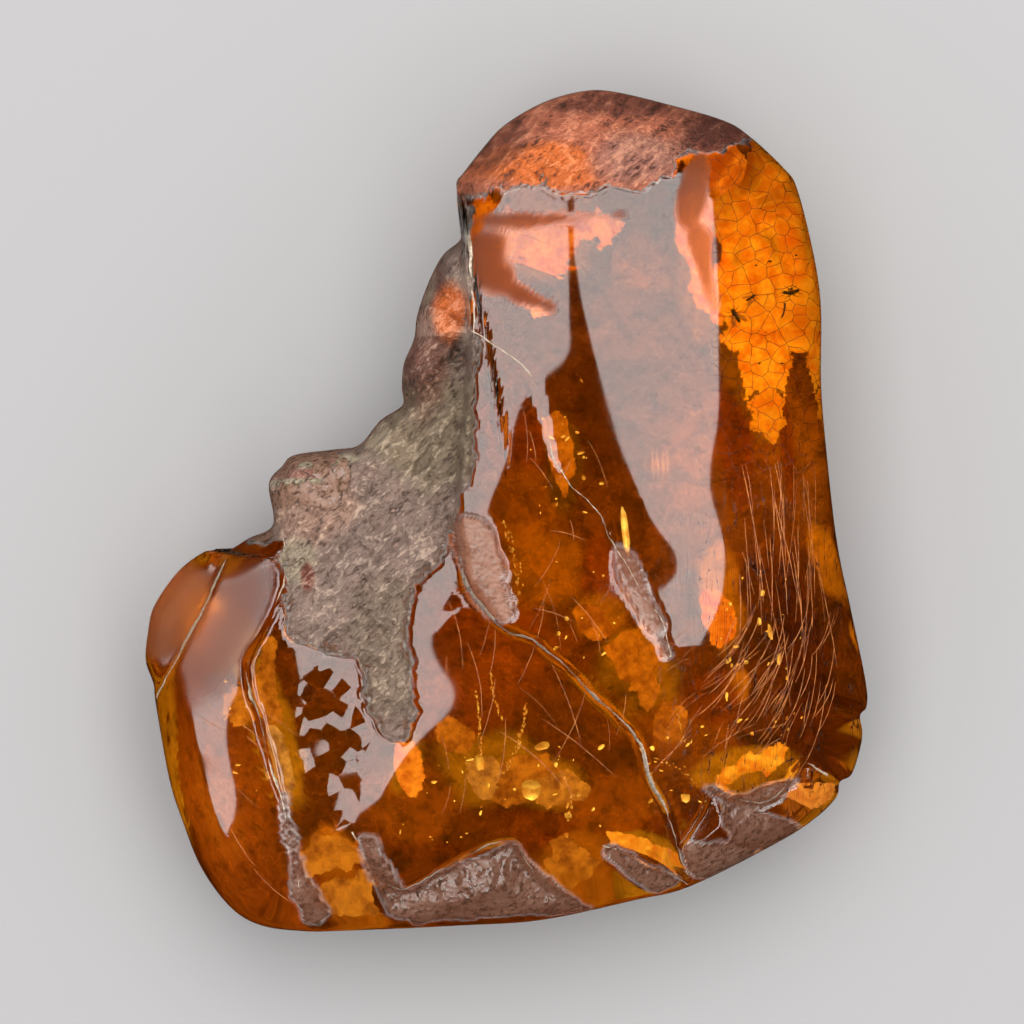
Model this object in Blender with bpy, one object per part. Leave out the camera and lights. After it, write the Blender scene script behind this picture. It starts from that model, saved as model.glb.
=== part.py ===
"""Two small flies sealed in a large piece of raw, part-polished amber.

The amber lies on a flat ground on its back. X runs to the right and Y up the front face, as it is
looked at, and Z rises from the surface that the amber lies on. The amber is parted on the plane of
its widest outline, where the flies sit in a pocket, so it is a front and a back half.
All sizes below are in millimetres. Heights are measured from the surface that the amber lies on.
"""

import math

import bmesh
import bpy
import numpy as np
from mathutils import Matrix, Vector

MM = 0.001

# Driving dimensions
PARTING_Z = 13.0  # height of the widest outline
PARTING_GAP = 0.3
POCKET_CLEARANCE = 0.3
GROUND_DEPTH = 1.2  # how much of the rounded back is ground away
BACK_ROUNDING = 15.0  # how far in from the outline the back takes to flatten
BACK_LUMP_HEIGHT = 0.3
BACK_LUMP_LENGTH = 11.0
FRONT_CELLS = 54  # facets across the front half, each way
BACK_CELLS = 30
WALL_WIDTH = 1.7  # width in plan of the wall at a flake's edge
SHARP_EDGE = math.radians(50)
LEAST_RISE = 0.02  # keeps the rounded skin off the parting face

# The widest outline, clockwise from the broken left edge of the column, and the point it is seen from
CENTRE = (3.0, -8.0)
OUTLINE = (
    (-3.9, 30.2), (-2.1, 32.5), (-0.2, 34.5), (3.2, 36.5), (6.6, 37.5), (9.5, 37.5), (14.6, 36.3),
    (19.4, 34.9), (21.7, 33.5), (24.8, 30.6), (26.0, 28.7), (27.5, 22.6), (28.1, 18.0), (28.1, 11.6),
    (28.5, 6.2), (29.5, -2.6), (30.8, -8.9), (32.1, -15.2), (32.2, -17.5), (31.6, -18.3),
    (31.8, -20.3), (30.9, -23.5), (29.8, -24.2), (29.5, -25.6), (27.6, -27.5), (24.2, -29.7),
    (16.4, -33.6), (11.6, -34.8), (3.2, -36.6), (-4.1, -37.1), (-15.1, -37.6), (-18.4, -37.6),
    (-22.0, -37.1), (-24.7, -35.5), (-27.3, -32.0), (-29.0, -27.8), (-30.2, -24.0), (-31.4, -17.3),
    (-31.6, -15.5), (-32.3, -13.4), (-32.1, -10.8), (-31.5, -8.4), (-29.2, -5.2), (-26.5, -3.4),
    (-25.1, -3.6), (-23.0, -2.4), (-20.9, -1.2), (-21.3, 2.4), (-20.1, 4.0), (-19.0, 5.0),
    (-15.4, 5.5), (-13.2, 5.9), (-11.3, 8.1), (-9.3, 9.5), (-9.4, 11.0), (-9.2, 13.2), (-8.3, 15.4),
    (-8.0, 17.6), (-6.9, 20.7), (-5.7, 22.9), (-4.1, 24.3), (-3.9, 25.9), (-4.5, 27.8), (-4.5, 29.4),
)  # fmt: skip

# The front is three smooth forms. Each is fitted to the tilt of its face at knots: x, y, and the
# rise of the face for each millimetre along X and along Y. A few knots also hold a height.
COLUMN = (
    (-3.3, 26.5, 0.10, -0.03), (6.1, 26.5, 0.010, -0.03, 28.2), (12.8, 26.5, -0.095, -0.03),
    (19.1, 26.5, -0.192, -0.03), (25.4, 25.1, -0.34, -0.03), (-3.3, 18.9, 0.11, 0.0),
    (6.1, 18.0, 0.010, 0.0, 28.4), (12.8, 18.0, -0.09, 0.0), (19.1, 18.0, -0.192, 0.0),
    (25.4, 18.0, -0.33, 0.0), (4.4, 14.1, 0.012, 0.018), (8.3, 13.2, -0.008, 0.022),
    (-1.5, 10.8, 0.085, 0.035), (3.3, 11.7, 0.016, 0.03), (9.6, 8.2, -0.023, 0.05),
    (19.1, 9.9, -0.192, 0.04), (25.4, 9.9, -0.32, 0.04), (-3.3, 5.5, 0.10, 0.07),
    (0.9, 5.5, 0.036, 0.073), (10.5, 5.2, -0.033, 0.075), (19.1, 5.2, -0.192, 0.075),
    (-3.7, -0.8, 0.09, 0.12), (-1.5, -0.8, 0.055, 0.12), (4.8, -0.8, 0.0, 0.12),
    (11.7, 0.8, -0.047, 0.11), (18.9, 0.1, -0.192, 0.11), (26.3, 0.1, -0.31, 0.11),
    (-0.6, -7.1, 0.045, 0.165), (4.8, -8.0, 0.0, 0.18), (12.8, -5.2, -0.068, 0.155, 25.2),
    (18.2, -5.2, -0.194, 0.155), (26.3, -8.0, -0.30, 0.17), (8.4, -12.4, -0.03, 0.21),
    (15.5, -11.5, -0.09, 0.21), (17.3, -11.5, -0.195, 0.215), (10.2, -20.5, -0.04, 0.28),
    (17.3, -20.5, -0.16, 0.28), (26.3, -18.7, -0.28, 0.27), (15.5, -27.7, -0.10, 0.36),
    (6.1, 34.1, 0.01, -0.20), (16.4, 32.3, -0.14, -0.16),
)  # fmt: skip
LEFT_LOBE = (
    (-4.6, -4.4, 0.035, 0.08, 23.4), (-6.0, -11.5, 0.046, 0.10), (-8.2, -18.7, 0.059, 0.13),
    (-10.4, -24.1, 0.07, 0.155), (-13.1, -28.6, 0.08, 0.185), (-19.4, -12.4, 0.174, 0.10),
    (-17.6, -18.7, 0.177, 0.13), (-15.3, -25.0, 0.18, 0.16), (-14.5, -28.6, 0.18, 0.185),
    (-0.6, -11.5, 0.0, 0.11), (-0.6, -18.7, 0.0, 0.15), (-2.4, -25.9, 0.0, 0.22),
    (4.8, -16.9, -0.03, 0.14), (4.8, -25.9, -0.03, 0.24), (11.9, -25.9, -0.05, 0.30),
    (-6.8, -31.2, 0.03, 0.32), (4.8, -32.1, -0.02, 0.36), (-14.9, -32.1, 0.10, 0.33),
    (11.9, -31.2, -0.05, 0.38), (-9.5, 5.5, 0.10, 0.05, 21.5), (-11.3, -4.4, 0.12, 0.06),
    (-6.8, 9.9, 0.15, 0.0, 21.0), (-6.0, 17.1, 0.25, 0.0, 20.0), (-16.7, 3.7, 0.12, -0.05),
    (-18.5, -4.4, 0.14, 0.03),
)  # fmt: skip
FAR_LEFT_LOBE = (
    (-21.6, -8.0, 0.006, 0.08, 20.8), (-28.8, -8.0, 0.156, 0.08), (-23.9, -16.9, 0.025, 0.12),
    (-28.3, -16.9, 0.157, 0.12), (-25.2, -25.9, 0.049, 0.17), (-27.4, -25.9, 0.16, 0.17),
    (-24.3, -30.3, 0.062, 0.19), (-26.1, -30.3, 0.162, 0.19), (-19.4, -18.7, -0.02, 0.14),
    (-20.3, -25.9, 0.0, 0.20), (-19.4, -33.0, 0.0, 0.32), (-23.0, -4.4, 0.02, 0.02),
    (-27.4, -4.4, 0.12, 0.02), (-23.9, -34.8, 0.06, 0.34), (-31.9, -16.9, 0.30, 0.12),
)  # fmt: skip
HEIGHT_PULL = 0.2  # weight of a held height against a tilt
BEND_PULL = 0.002  # how much bending is held back

# Lines where one form breaks off and the next, lower one starts, from the outline to the outline
COLUMN_EDGE = (
    (19.1, -39.3), (16.4, -33.0), (14.2, -26.8), (12.4, -23.2), (11.5, -20.0), (8.4, -16.9),
    (4.8, -13.3), (2.1, -11.3), (-0.6, -10.2), (-3.1, -7.1), (-4.0, -4.4), (-4.3, -1.0),
    (-3.9, 6.4), (-3.2, 15.8), (-3.9, 21.6), (-4.0, 24.3), (-4.3, 27.8), (-6.8, 32.3),
)  # fmt: skip
FAR_LEFT_EDGE = (
    (-22.5, 2.8), (-19.8, -2.1), (-19.6, -5.3), (-20.7, -9.3), (-23.0, -13.8), (-21.9, -18.3),
    (-20.7, -23.2), (-19.2, -28.6), (-18.3, -33.9), (-16.7, -40.2),
)  # fmt: skip

# How far in from the outline the front takes to rise, at places along it: x, y, width
ROUNDING = (
    (28.0, 20.0, 5.0), (30.0, 0.0, 5.0), (30.0, -20.0, 5.0), (10.0, 37.0, 8.0), (22.0, 33.0, 7.0),
    (-3.5, 30.0, 5.0), (-4.0, 24.0, 1.6), (-8.0, 16.0, 3.0), (-12.0, 8.0, 2.4), (-19.0, 5.0, 2.4),
    (-24.0, -3.0, 3.0), (-31.0, -12.0, 3.2), (-28.0, -30.0, 3.4), (-15.0, -37.0, 4.0),
    (5.0, -36.0, 4.0), (20.0, -32.0, 4.0),
)  # fmt: skip

# Each flake scar: the line of its edge, the depth at the edge, how far the scar takes to run out,
# and the share of the line over which it fades at either end. The scar is on the left of the line
# as it is walked, or on the right where the depth is negative.
SCARS = {
    "skin_edge": (
        ((14.4, -12.9), (13.7, -9.8), (11.9, -7.1), (9.4, -3.0), (8.2, -0.4), (4.6, 3.7),
         (3.5, 7.7), (2.4, 11.3), (0.3, 13.5), (-3.3, 15.8)), 0.45, 25.0, 0.15),
    "bottom_ledge": (
        ((-13.6, -28.4), (-11.8, -31.6), (-9.5, -33.7), (-5.9, -32.0), (-2.8, -30.2),
         (0.5, -29.3), (1.7, -31.2), (3.7, -33.5), (8.0, -35.0)), -1.5, 5.0, 0.2),
    "corner_chip": (
        ((14.8, -30.6), (17.2, -26.9), (18.2, -24.9), (21.2, -25.8), (24.0, -25.4), (26.2, -22.3),
         (28.6, -23.6)), -1.5, 4.5, 0.2),
    "bottom_chip": (
        ((8.6, -29.6), (10.4, -30.2), (12.8, -31.2), (16.4, -33.6)), -1.0, 3.0, 0.3),
    "far_left_block": (
        ((-31.8, -17.5), (-29.5, -13.5), (-27.9, -10.5), (-25.6, -5.8), (-24.0, -1.5)),
        3.2, 7.0, 0.35),
}  # fmt: skip

# Unpolished ground: its border, how deep it lies, and the height and length of the lumps on it
ROUGH_GROUND = {
    "hollow": (
        ((-13.5, 6.5), (-9.1, 10.2), (-6.0, 12.5), (-4.0, 15.3), (-2.6, 14.0), (-2.9, 7.2),
         (-3.3, 3.7), (-4.6, -0.8), (-6.0, -4.4), (-8.5, -7.1), (-9.1, -10.7), (-8.5, -16.0),
         (-9.5, -20.0), (-12.2, -16.9), (-13.1, -13.3), (-15.8, -12.4), (-18.5, -11.5),
         (-19.6, -8.9), (-19.6, -3.0), (-21.0, 2.0), (-19.0, 5.5)), 1.3, 0.35, 4.5),
    "broken_side": (
        ((-10.5, 8.5), (-4.2, 13.0), (-3.9, 18.0), (-4.2, 22.0), (-4.0, 26.5), (-7.5, 24.0),
         (-9.5, 17.0), (-11.0, 12.0)), 0.3, 0.9, 6.0),
    "shoulder": (
        ((-22.5, -2.5), (-15.5, -0.5), (-11.5, 3.5), (-11.0, 8.0), (-16.0, 7.0), (-22.5, 4.0)),
        0.2, 0.6, 5.0),
    "top_skin": (
        ((-4.6, 28.2), (-0.6, 28.6), (3.0, 28.9), (7.5, 28.0), (9.4, 28.7), (13.3, 28.7),
         (16.4, 32.0), (20.5, 32.0), (22.5, 34.5), (8.0, 39.0), (-1.5, 35.5)), 0.2, 0.12, 3.5),
}  # fmt: skip
ROUGH_WALL = 1.4

# The flies: where each lies in the parting plane, its heading in degrees and its body's length
FLIES = {
    "fly": ((19.3, 17.4), 118.0, 1.3),
    "small_fly": ((20.5, 19.0), 35.0, 0.9),
}

AMBER_COLOUR = (0.62, 0.17, 0.02, 1.0)
FLY_COLOUR = (0.035, 0.018, 0.010, 1.0)


def start_clean():
    """Removes whatever the scene holds."""
    for thing in list(bpy.data.objects):
        bpy.data.objects.remove(thing)


def smooth_line(points, closed, steps=6):
    """A Catmull-Rom curve through the points, as an array of x, y."""
    p = np.array(points, float)
    if closed:
        before, after, last = np.roll(p, 1, 0), np.roll(p, -1, 0), np.roll(p, -2, 0)
    else:
        ends = np.vstack([2 * p[0] - p[1], p, 2 * p[-1] - p[-2]])
        before, p, after, last = ends[:-3], ends[1:-2], ends[2:-1], ends[3:]
    t = np.linspace(0, 1, steps, endpoint=False)[None, :, None]
    a, b, c, d = (q[:, None, :] for q in (before, p, after, last))
    curve = 0.5 * (
        2 * b + (c - a) * t + (2 * a - 5 * b + 4 * c - d) * t**2 + (3 * b - a - 3 * c + d) * t**3
    )
    curve = curve.reshape(-1, 2)
    return curve if closed else np.vstack([curve, p[-1:] * 0 + after[-1:]])


def nearest_on(line, x, y, closed=False):
    """Distance to a line of points, the side (1 on its left), and the share of the way along it."""
    ends = np.roll(line, -1, 0) if closed else line[1:]
    starts = line if closed else line[:-1]
    run = ends - starts
    length = np.maximum(np.linalg.norm(run, axis=1), 1e-9)
    along = np.concatenate([[0], np.cumsum(length)])
    best = np.full(x.shape, 1e9)
    side = np.ones(x.shape)
    share = np.zeros(x.shape)
    for i in range(len(starts)):
        dx, dy = x - starts[i, 0], y - starts[i, 1]
        t = np.clip((dx * run[i, 0] + dy * run[i, 1]) / length[i] ** 2, 0, 1)
        gap = np.hypot(dx - t * run[i, 0], dy - t * run[i, 1])
        closer = gap < best
        best = np.where(closer, gap, best)
        side = np.where(closer, np.sign(run[i, 0] * dy - run[i, 1] * dx), side)
        share = np.where(closer, (along[i] + t * length[i]) / along[-1], share)
    return best, side, share


def turned(border):
    """1 for a border whose points run anticlockwise, -1 for clockwise."""
    p = np.array(border)
    q = np.roll(p, -1, 0)
    return math.copysign(1.0, (p[:, 0] * q[:, 1] - q[:, 0] * p[:, 1]).sum())


def ease(value):
    """Smooth step from 0 to 1."""
    t = np.clip(value, 0, 1)
    return t * t * (3 - 2 * t)


def knot_terms(centres, x, y):
    """What each of a form's weights adds to its height, its rise along X and its rise along Y."""
    dx, dy = x[:, None] - centres[:, 0], y[:, None] - centres[:, 1]
    gap = np.hypot(dx, dy)
    one, zero = np.ones((len(x), 1)), np.zeros((len(x), 1))
    height = np.hstack([gap**3 * MM, one, x[:, None], y[:, None]])
    rise_x = np.hstack([3 * gap * dx * MM, zero, one, zero])
    rise_y = np.hstack([3 * gap * dy * MM, zero, zero, one])
    return height, rise_x, rise_y


def form_heights(knots, x, y):
    """Height at x, y of the smooth form that comes nearest to the knots' tilts and held heights."""
    knot = np.array([k[:4] for k in knots])
    height, rise_x, rise_y = knot_terms(knot, knot[:, 0], knot[:, 1])
    held = [i for i, k in enumerate(knots) if len(k) > 4]
    bend = BEND_PULL * np.eye(len(knot), height.shape[1])
    rows = np.vstack([rise_x, rise_y, HEIGHT_PULL * height[held], bend])
    pull = [HEIGHT_PULL * knots[i][4] for i in held]
    wanted = np.concatenate([knot[:, 2], knot[:, 3], pull, np.zeros(len(knot))])
    weights = np.linalg.lstsq(rows, wanted, rcond=None)[0]
    return knot_terms(knot, x, y)[0] @ weights


def right_of(line, x, y):
    """1 on the right of an open line as it is walked, 0 on its left, with a wall between."""
    gap, side, _ = nearest_on(smooth_line(line, closed=False), x, y)
    return ease(0.5 - side * gap / WALL_WIDTH)


def rounding_width(x, y):
    """Width of the rounded margin near a place: the nearest values in ROUNDING, blended."""
    total, weights = 0.0, 0.0
    for px, py, width in ROUNDING:
        near = 1 / ((x - px) ** 2 + (y - py) ** 2 + 4.0) ** 2
        total, weights = total + near * width, weights + near
    return total / weights


def margin(depth, width):
    """Share of full height at a depth inside the outline: a quarter of an ellipse, then 1."""
    t = np.clip(depth / width, 0, 1)
    return np.sqrt(1 - (1 - t) ** 2)


def lumps(x, y, length):
    """Uneven ground of crossing waves of about this length, from -1 to 1."""
    turn = 2 * math.pi / length
    waves = np.sin(turn * (x + 0.6 * y) + 2.0 * np.sin(turn * 0.37 * y))
    return (waves + np.sin(turn * 1.31 * (y - 0.4 * x) + 1.7 * np.sin(turn * 0.45 * x + 1.0))) / 2


def scar_depth(name, x, y):
    """How much a flake scar takes off the front at each place."""
    points, depth, reach, tail = SCARS[name]
    gap, side, share = nearest_on(smooth_line(points, closed=False), x, y)
    side = side * math.copysign(1.0, depth)
    fade = ease(share / tail) * ease((1 - share) / tail)
    wall = ease(0.5 + side * gap / WALL_WIDTH)
    return abs(depth) * fade * wall * (1 - ease(gap / reach))


def outline_curve():
    """The outline as a smooth closed curve, with the middle of its bounds at the origin."""
    curve = smooth_line(OUTLINE, closed=True)
    return curve - (curve.min(0) + curve.max(0)) / 2


def front_height(x, y):
    """Height of the front at each place: forms, flake scars, rough ground and rounded margin."""
    depth = nearest_on(outline_curve(), x, y, closed=True)[0]
    top = form_heights(LEFT_LOBE, x, y)
    top = top + (form_heights(COLUMN, x, y) - top) * right_of(COLUMN_EDGE, x, y)
    top = top + (form_heights(FAR_LEFT_LOBE, x, y) - top) * right_of(FAR_LEFT_EDGE, x, y)
    for name in SCARS:
        top = top - scar_depth(name, x, y)
    for border, deep, lump_height, lump_length in ROUGH_GROUND.values():
        gap, side, _ = nearest_on(smooth_line(border, closed=True), x, y, closed=True)
        inside = ease(0.5 + turned(border) * side * gap / ROUGH_WALL)
        top = top - inside * (deep + lump_height * lumps(x, y, lump_length))
    return PARTING_Z + (top - PARTING_Z) * margin(depth, rounding_width(x, y))


def back_height(x, y):
    """Height of the back: rounded in from the outline, then ground flat at zero."""
    depth = nearest_on(outline_curve(), x, y, closed=True)[0]
    drop = (PARTING_Z + GROUND_DEPTH) * margin(depth, BACK_ROUNDING)
    drop = drop + BACK_LUMP_HEIGHT * lumps(x, y, BACK_LUMP_LENGTH)
    return np.maximum(PARTING_Z - drop * (1 - np.exp(-depth)), 0.0)


def disc_grid(cells):
    """Share of the radius, and the angle, of a square grid drawn out to a disc."""
    side = np.linspace(-1, 1, cells + 1)
    u, v = np.meshgrid(side, side)
    wide = np.abs(u) > np.abs(v)
    reach = np.where(wide, u, v)
    ratio = np.where(wide, v, u) / np.where(reach == 0, 1, reach)
    angle = np.where(wide, ratio, 2 - ratio) * math.pi / 4 + np.where(reach < 0, math.pi, 0)
    share = np.abs(reach)
    return 1.25 * share - 0.25 * share**5, angle


def rim_order(cells):
    """Indices of a grid's outermost points, anticlockwise from its lowest left."""
    n = cells + 1
    bottom = [(0, j) for j in range(cells)]
    right = [(i, cells) for i in range(cells)]
    top = [(cells, cells - j) for j in range(cells)]
    left = [(cells - i, 0) for i in range(cells)]
    return [i * n + j for i, j in bottom + right + top + left]


def folded_quads(x, y, z, cells, heights):
    """Two triangles for each square of a grid, folded on the diagonal nearer the true surface."""
    n = cells + 1
    row, column = np.mgrid[0:cells, 0:cells].reshape(2, -1)
    a = row * n + column
    b, c, d = a + 1, a + n + 1, a + n
    true = heights(x[[a, b, c, d]].mean(0), y[[a, b, c, d]].mean(0))
    keep = np.abs((z[a] + z[c]) / 2 - true) <= np.abs((z[b] + z[d]) / 2 - true)
    first = np.where(keep, [a, b, c], [a, b, d]).T
    second = np.where(keep, [a, c, d], [b, c, d]).T
    return [tuple(face) for face in np.vstack([first, second]).tolist()]


def half_mesh(name, cells, heights, rim_z, upwards):
    """A closed half: a grid surface over the outline, and the flat parting face across its rim."""
    outline = outline_curve()
    bearing = np.arctan2(outline[:, 1] - CENTRE[1], outline[:, 0] - CENTRE[0]) % (2 * math.pi)
    radius = np.hypot(outline[:, 0] - CENTRE[0], outline[:, 1] - CENTRE[1])
    order = np.argsort(bearing)
    share, angle = disc_grid(cells)
    reach = share * np.interp(
        angle % (2 * math.pi), bearing[order], radius[order], period=2 * math.pi
    )
    x = (CENTRE[0] + reach * np.cos(angle)).ravel()
    y = (CENTRE[1] + reach * np.sin(angle)).ravel()
    z = heights(x, y)
    rim = rim_order(cells)
    if upwards:
        z = np.maximum(z, rim_z + LEAST_RISE)
    else:
        z = np.minimum(z, rim_z - LEAST_RISE)
    z[rim] = rim_z
    # The parting face is turned against the skin, and both are flipped together for the back
    faces = folded_quads(x, y, z, cells, heights) + [tuple(reversed(rim))]
    if not upwards:
        faces = [tuple(reversed(face)) for face in faces]
    mesh = bpy.data.meshes.new(name)
    mesh.from_pydata([tuple(p) for p in np.column_stack([x, y, z]) * MM], [], faces)
    mesh.update()
    return mesh


def add_ball(bm, centre, radii, turn, rings=6, segments=8):
    """A closed ball stretched along its own axes, turned about Z and moved to its centre."""
    place = Matrix.Translation(centre) @ Matrix.Rotation(turn, 4, "Z") @ Matrix.Diagonal((*radii, 1))
    bmesh.ops.create_uvsphere(bm, u_segments=segments, v_segments=rings, radius=1.0, matrix=place)


def add_limb(bm, points, radius, sides=4):
    """A thin limb: one closed skin on rings about the points, thinner at its far end."""
    rings = []
    for i, point in enumerate(points):
        run = (points[min(i + 1, len(points) - 1)] - points[max(i - 1, 0)]).normalized()
        across = run.cross(Vector((0, 0, 1))).normalized() * radius * (1 - 0.25 * i)
        turns = (Matrix.Rotation(2 * math.pi * k / sides, 3, run) for k in range(sides))
        rings.append([bm.verts.new(point + turn @ across) for turn in turns])
    for near, far in zip(rings[:-1], rings[1:]):
        for k in range(sides):
            bm.faces.new((near[k], near[(k + 1) % sides], far[(k + 1) % sides], far[k]))
    bm.faces.new(reversed(rings[0]))
    bm.faces.new(rings[-1])


def fly_mesh(name, place, heading, length):
    """A small fly along local X: head, humped thorax, abdomen, two wings, six legs, two feelers."""
    unit = length * MM
    bm = bmesh.new()
    add_ball(bm, Vector((0.40, 0, 0.0)) * unit, Vector((0.12, 0.14, 0.12)) * unit, 0)
    add_ball(bm, Vector((0.17, 0, 0.05)) * unit, Vector((0.20, 0.16, 0.19)) * unit, 0)
    add_ball(bm, Vector((-0.22, 0, 0.0)) * unit, Vector((0.32, 0.12, 0.12)) * unit, 0)
    for side in (-1, 1):
        add_ball(
            bm, Vector((-0.17, side * 0.27, 0.14)) * unit, Vector((0.40, 0.13, 0.022)) * unit,
            -side * math.radians(24), rings=4, segments=12,
        )  # fmt: skip
        feeler = [(0.46, 0.05, 0.04), (0.60, 0.14, 0.08), (0.74, 0.17, 0.04)]
        add_limb(bm, [Vector((px, side * py, pz)) * unit for px, py, pz in feeler], 0.02 * unit)
        for hip, knee, foot in ((0.28, 0.42, 0.56), (0.16, 0.14, 0.10), (0.05, -0.14, -0.34)):
            leg = [(hip, 0.06, -0.06), (knee, 0.32, 0.04), (foot, 0.50, -0.20)]
            add_limb(bm, [Vector((px, side * py, pz)) * unit for px, py, pz in leg], 0.03 * unit)
    bmesh.ops.recalc_face_normals(bm, faces=bm.faces)
    turn = Matrix.Rotation(math.radians(heading), 4, "Z")
    centre = Matrix.Translation(Vector((*place, PARTING_Z)) * MM)
    bmesh.ops.transform(bm, matrix=centre @ turn, verts=bm.verts)
    mesh = bpy.data.meshes.new(name)
    bm.to_mesh(mesh)
    bm.free()
    return mesh


def pocket_mesh(name, place, heading, length):
    """The hollow round one fly: a ball that clears its legs, wings and feelers."""
    bm = bmesh.new()
    grown = Vector((0.66, 0.54, 0.27)) * length + Vector((1, 1, 1)) * POCKET_CLEARANCE
    middle = Matrix.Rotation(math.radians(heading), 3, "Z") @ Vector((0.06 * length, 0, 0))
    centre = (Vector((*place, PARTING_Z)) + middle) * MM
    add_ball(bm, centre, grown * MM, math.radians(heading), rings=8, segments=14)
    mesh = bpy.data.meshes.new(name)
    bm.to_mesh(mesh)
    bm.free()
    return mesh


def material(name, colour, roughness, transmission=0.0):
    """A plain finish in the piece's colour."""
    made = bpy.data.materials.new(name)
    made.use_nodes = True
    shader = made.node_tree.nodes["Principled BSDF"]
    shader.inputs["Base Color"].default_value = colour
    shader.inputs["Roughness"].default_value = roughness
    shader.inputs["Metallic"].default_value = 0.0
    shader.inputs["Transmission Weight"].default_value = transmission
    shader.inputs["IOR"].default_value = 1.54
    return made


def add_piece(mesh, parent, finish):
    """Puts a mesh in the scene as a named piece."""
    piece = bpy.data.objects.new(mesh.name, mesh)
    bpy.context.scene.collection.objects.link(piece)
    piece.parent = parent
    if finish:
        mesh.materials.append(finish)
        mesh.shade_smooth()
        mesh.set_sharp_from_angle(angle=SHARP_EDGE)
    return piece


def add_cutter(mesh, parent):
    """A helper that only cuts, and is left out of the model."""
    cutter = add_piece(mesh, parent, None)
    cutter.hide_render = True
    cutter.display_type = "WIRE"
    return cutter


def cut(piece, cutter):
    """Takes the cutter's shape out of a piece."""
    modifier = piece.modifiers.new(f"pocket_{cutter.name}", "BOOLEAN")
    modifier.operation = "DIFFERENCE"
    modifier.solver = "EXACT"
    modifier.object = cutter


def weld_parts(piece):
    """Joins a piece's overlapping closed parts in one body."""
    modifier = piece.modifiers.new("one_body", "BOOLEAN")
    modifier.operation = "UNION"
    modifier.solver = "EXACT"
    modifier.operand_type = "COLLECTION"
    modifier.use_self = True
    modifier.collection = bpy.data.collections.new(f"{piece.name}_nothing_more")


def main():
    start_clean()
    root = bpy.data.objects.new("insect_in_amber", None)
    bpy.context.scene.collection.objects.link(root)
    amber = material("amber", AMBER_COLOUR, 0.08, transmission=1.0)
    chitin = material("fly_body", FLY_COLOUR, 0.45)

    front_z = PARTING_Z + PARTING_GAP / 2
    back_z = PARTING_Z - PARTING_GAP / 2
    front = add_piece(half_mesh("amber_front", FRONT_CELLS, front_height, front_z, True), root, amber)
    back = add_piece(half_mesh("amber_back", BACK_CELLS, back_height, back_z, False), root, amber)
    for name, (place, heading, length) in FLIES.items():
        fly = add_piece(fly_mesh(name, place, heading, length), root, chitin)
        weld_parts(fly)
        pocket = add_cutter(pocket_mesh(f"{name}_pocket", place, heading, length), root)
        cut(front, pocket)
        cut(back, pocket)


main()
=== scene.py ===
"""A lump of raw amber with a polished face, lit by two soft panels on a pale floor.

Lengths in this file are millimetres in the frame of the part: X to the right and Y up the face as
the photograph shows it, Z up from the surface that the amber lies on. They become metres only
where a mesh is made. Places that were read from the photograph are places as the camera sees them.
"""

import logging
import math
from dataclasses import dataclass, field
from enum import Enum
from functools import cached_property
from typing import Any, Callable, Iterable, Sequence

import bpy
import numpy as np
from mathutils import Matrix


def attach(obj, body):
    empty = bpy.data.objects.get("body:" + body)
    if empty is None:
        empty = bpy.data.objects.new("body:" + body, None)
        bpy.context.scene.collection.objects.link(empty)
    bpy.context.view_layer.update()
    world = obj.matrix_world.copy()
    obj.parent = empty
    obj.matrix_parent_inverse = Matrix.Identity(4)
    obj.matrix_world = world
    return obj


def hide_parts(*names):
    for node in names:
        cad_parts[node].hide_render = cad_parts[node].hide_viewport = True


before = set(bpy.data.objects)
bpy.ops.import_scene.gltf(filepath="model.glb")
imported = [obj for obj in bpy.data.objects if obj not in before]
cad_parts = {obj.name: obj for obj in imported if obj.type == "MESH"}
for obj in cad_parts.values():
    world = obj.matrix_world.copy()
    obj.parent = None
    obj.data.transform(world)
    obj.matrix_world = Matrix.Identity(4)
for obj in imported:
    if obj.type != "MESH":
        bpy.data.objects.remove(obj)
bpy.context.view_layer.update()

Array = np.ndarray
Place = tuple[float, float]
Colour = tuple[float, float, float]

MM = 0.001
BODY = "root"
PARTING_Z = 13.0
LOG = logging.getLogger("amber")


# Numbers and noise


def ease(value: Array) -> Array:
    """Smooth step from 0 to 1."""
    t = np.clip(value, 0.0, 1.0)
    return t * t * (3.0 - 2.0 * t)


def lattice(column: Array, row: Array, seed: int) -> Array:
    """A repeatable number from 0 to 1 for each whole-number place: its coordinates, hashed.

    Args:
        column, row: whole numbers.
        seed: picks one of many patterns.

    Returns:
        The numbers, in the shape of column.
    """
    mixed = (column * 374761393 + row * 668265263 + seed * 362437) & 0xFFFFFFFF
    mixed = ((mixed ^ (mixed >> 13)) * 1274126177) & 0xFFFFFFFF
    return ((mixed ^ (mixed >> 16)) & 0xFFFF) / 65535.0


def value_noise(x: Array, y: Array, seed: int) -> Array:
    """Noise from -1 to 1: random corner values of unit squares, eased from corner to corner."""
    column, row = np.floor(x).astype(np.int64), np.floor(y).astype(np.int64)
    u, v = ease(x - column), ease(y - row)
    low = lattice(column, row, seed) * (1 - u) + lattice(column + 1, row, seed) * u
    high = lattice(column, row + 1, seed) * (1 - u) + lattice(column + 1, row + 1, seed) * u
    return 2.0 * (low * (1 - v) + high * v) - 1.0


def fractal(x: Array, y: Array, length: float, octaves: int, seed: int) -> Array:
    """Sum of noises, each of half the length and half the strength of the one before.

    Args:
        x, y: places.
        length: size of the largest lumps.
        octaves: how many noises are summed.
        seed: picks one of many patterns.

    Returns:
        Values of about -1 to 1.
    """
    total = np.zeros(np.shape(x))
    for octave in range(octaves):
        share = 0.5**octave
        total += share * value_noise(x / (length * share), y / (length * share), seed + octave)
    return total / (2.0 - 0.5 ** (octaves - 1))


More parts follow.
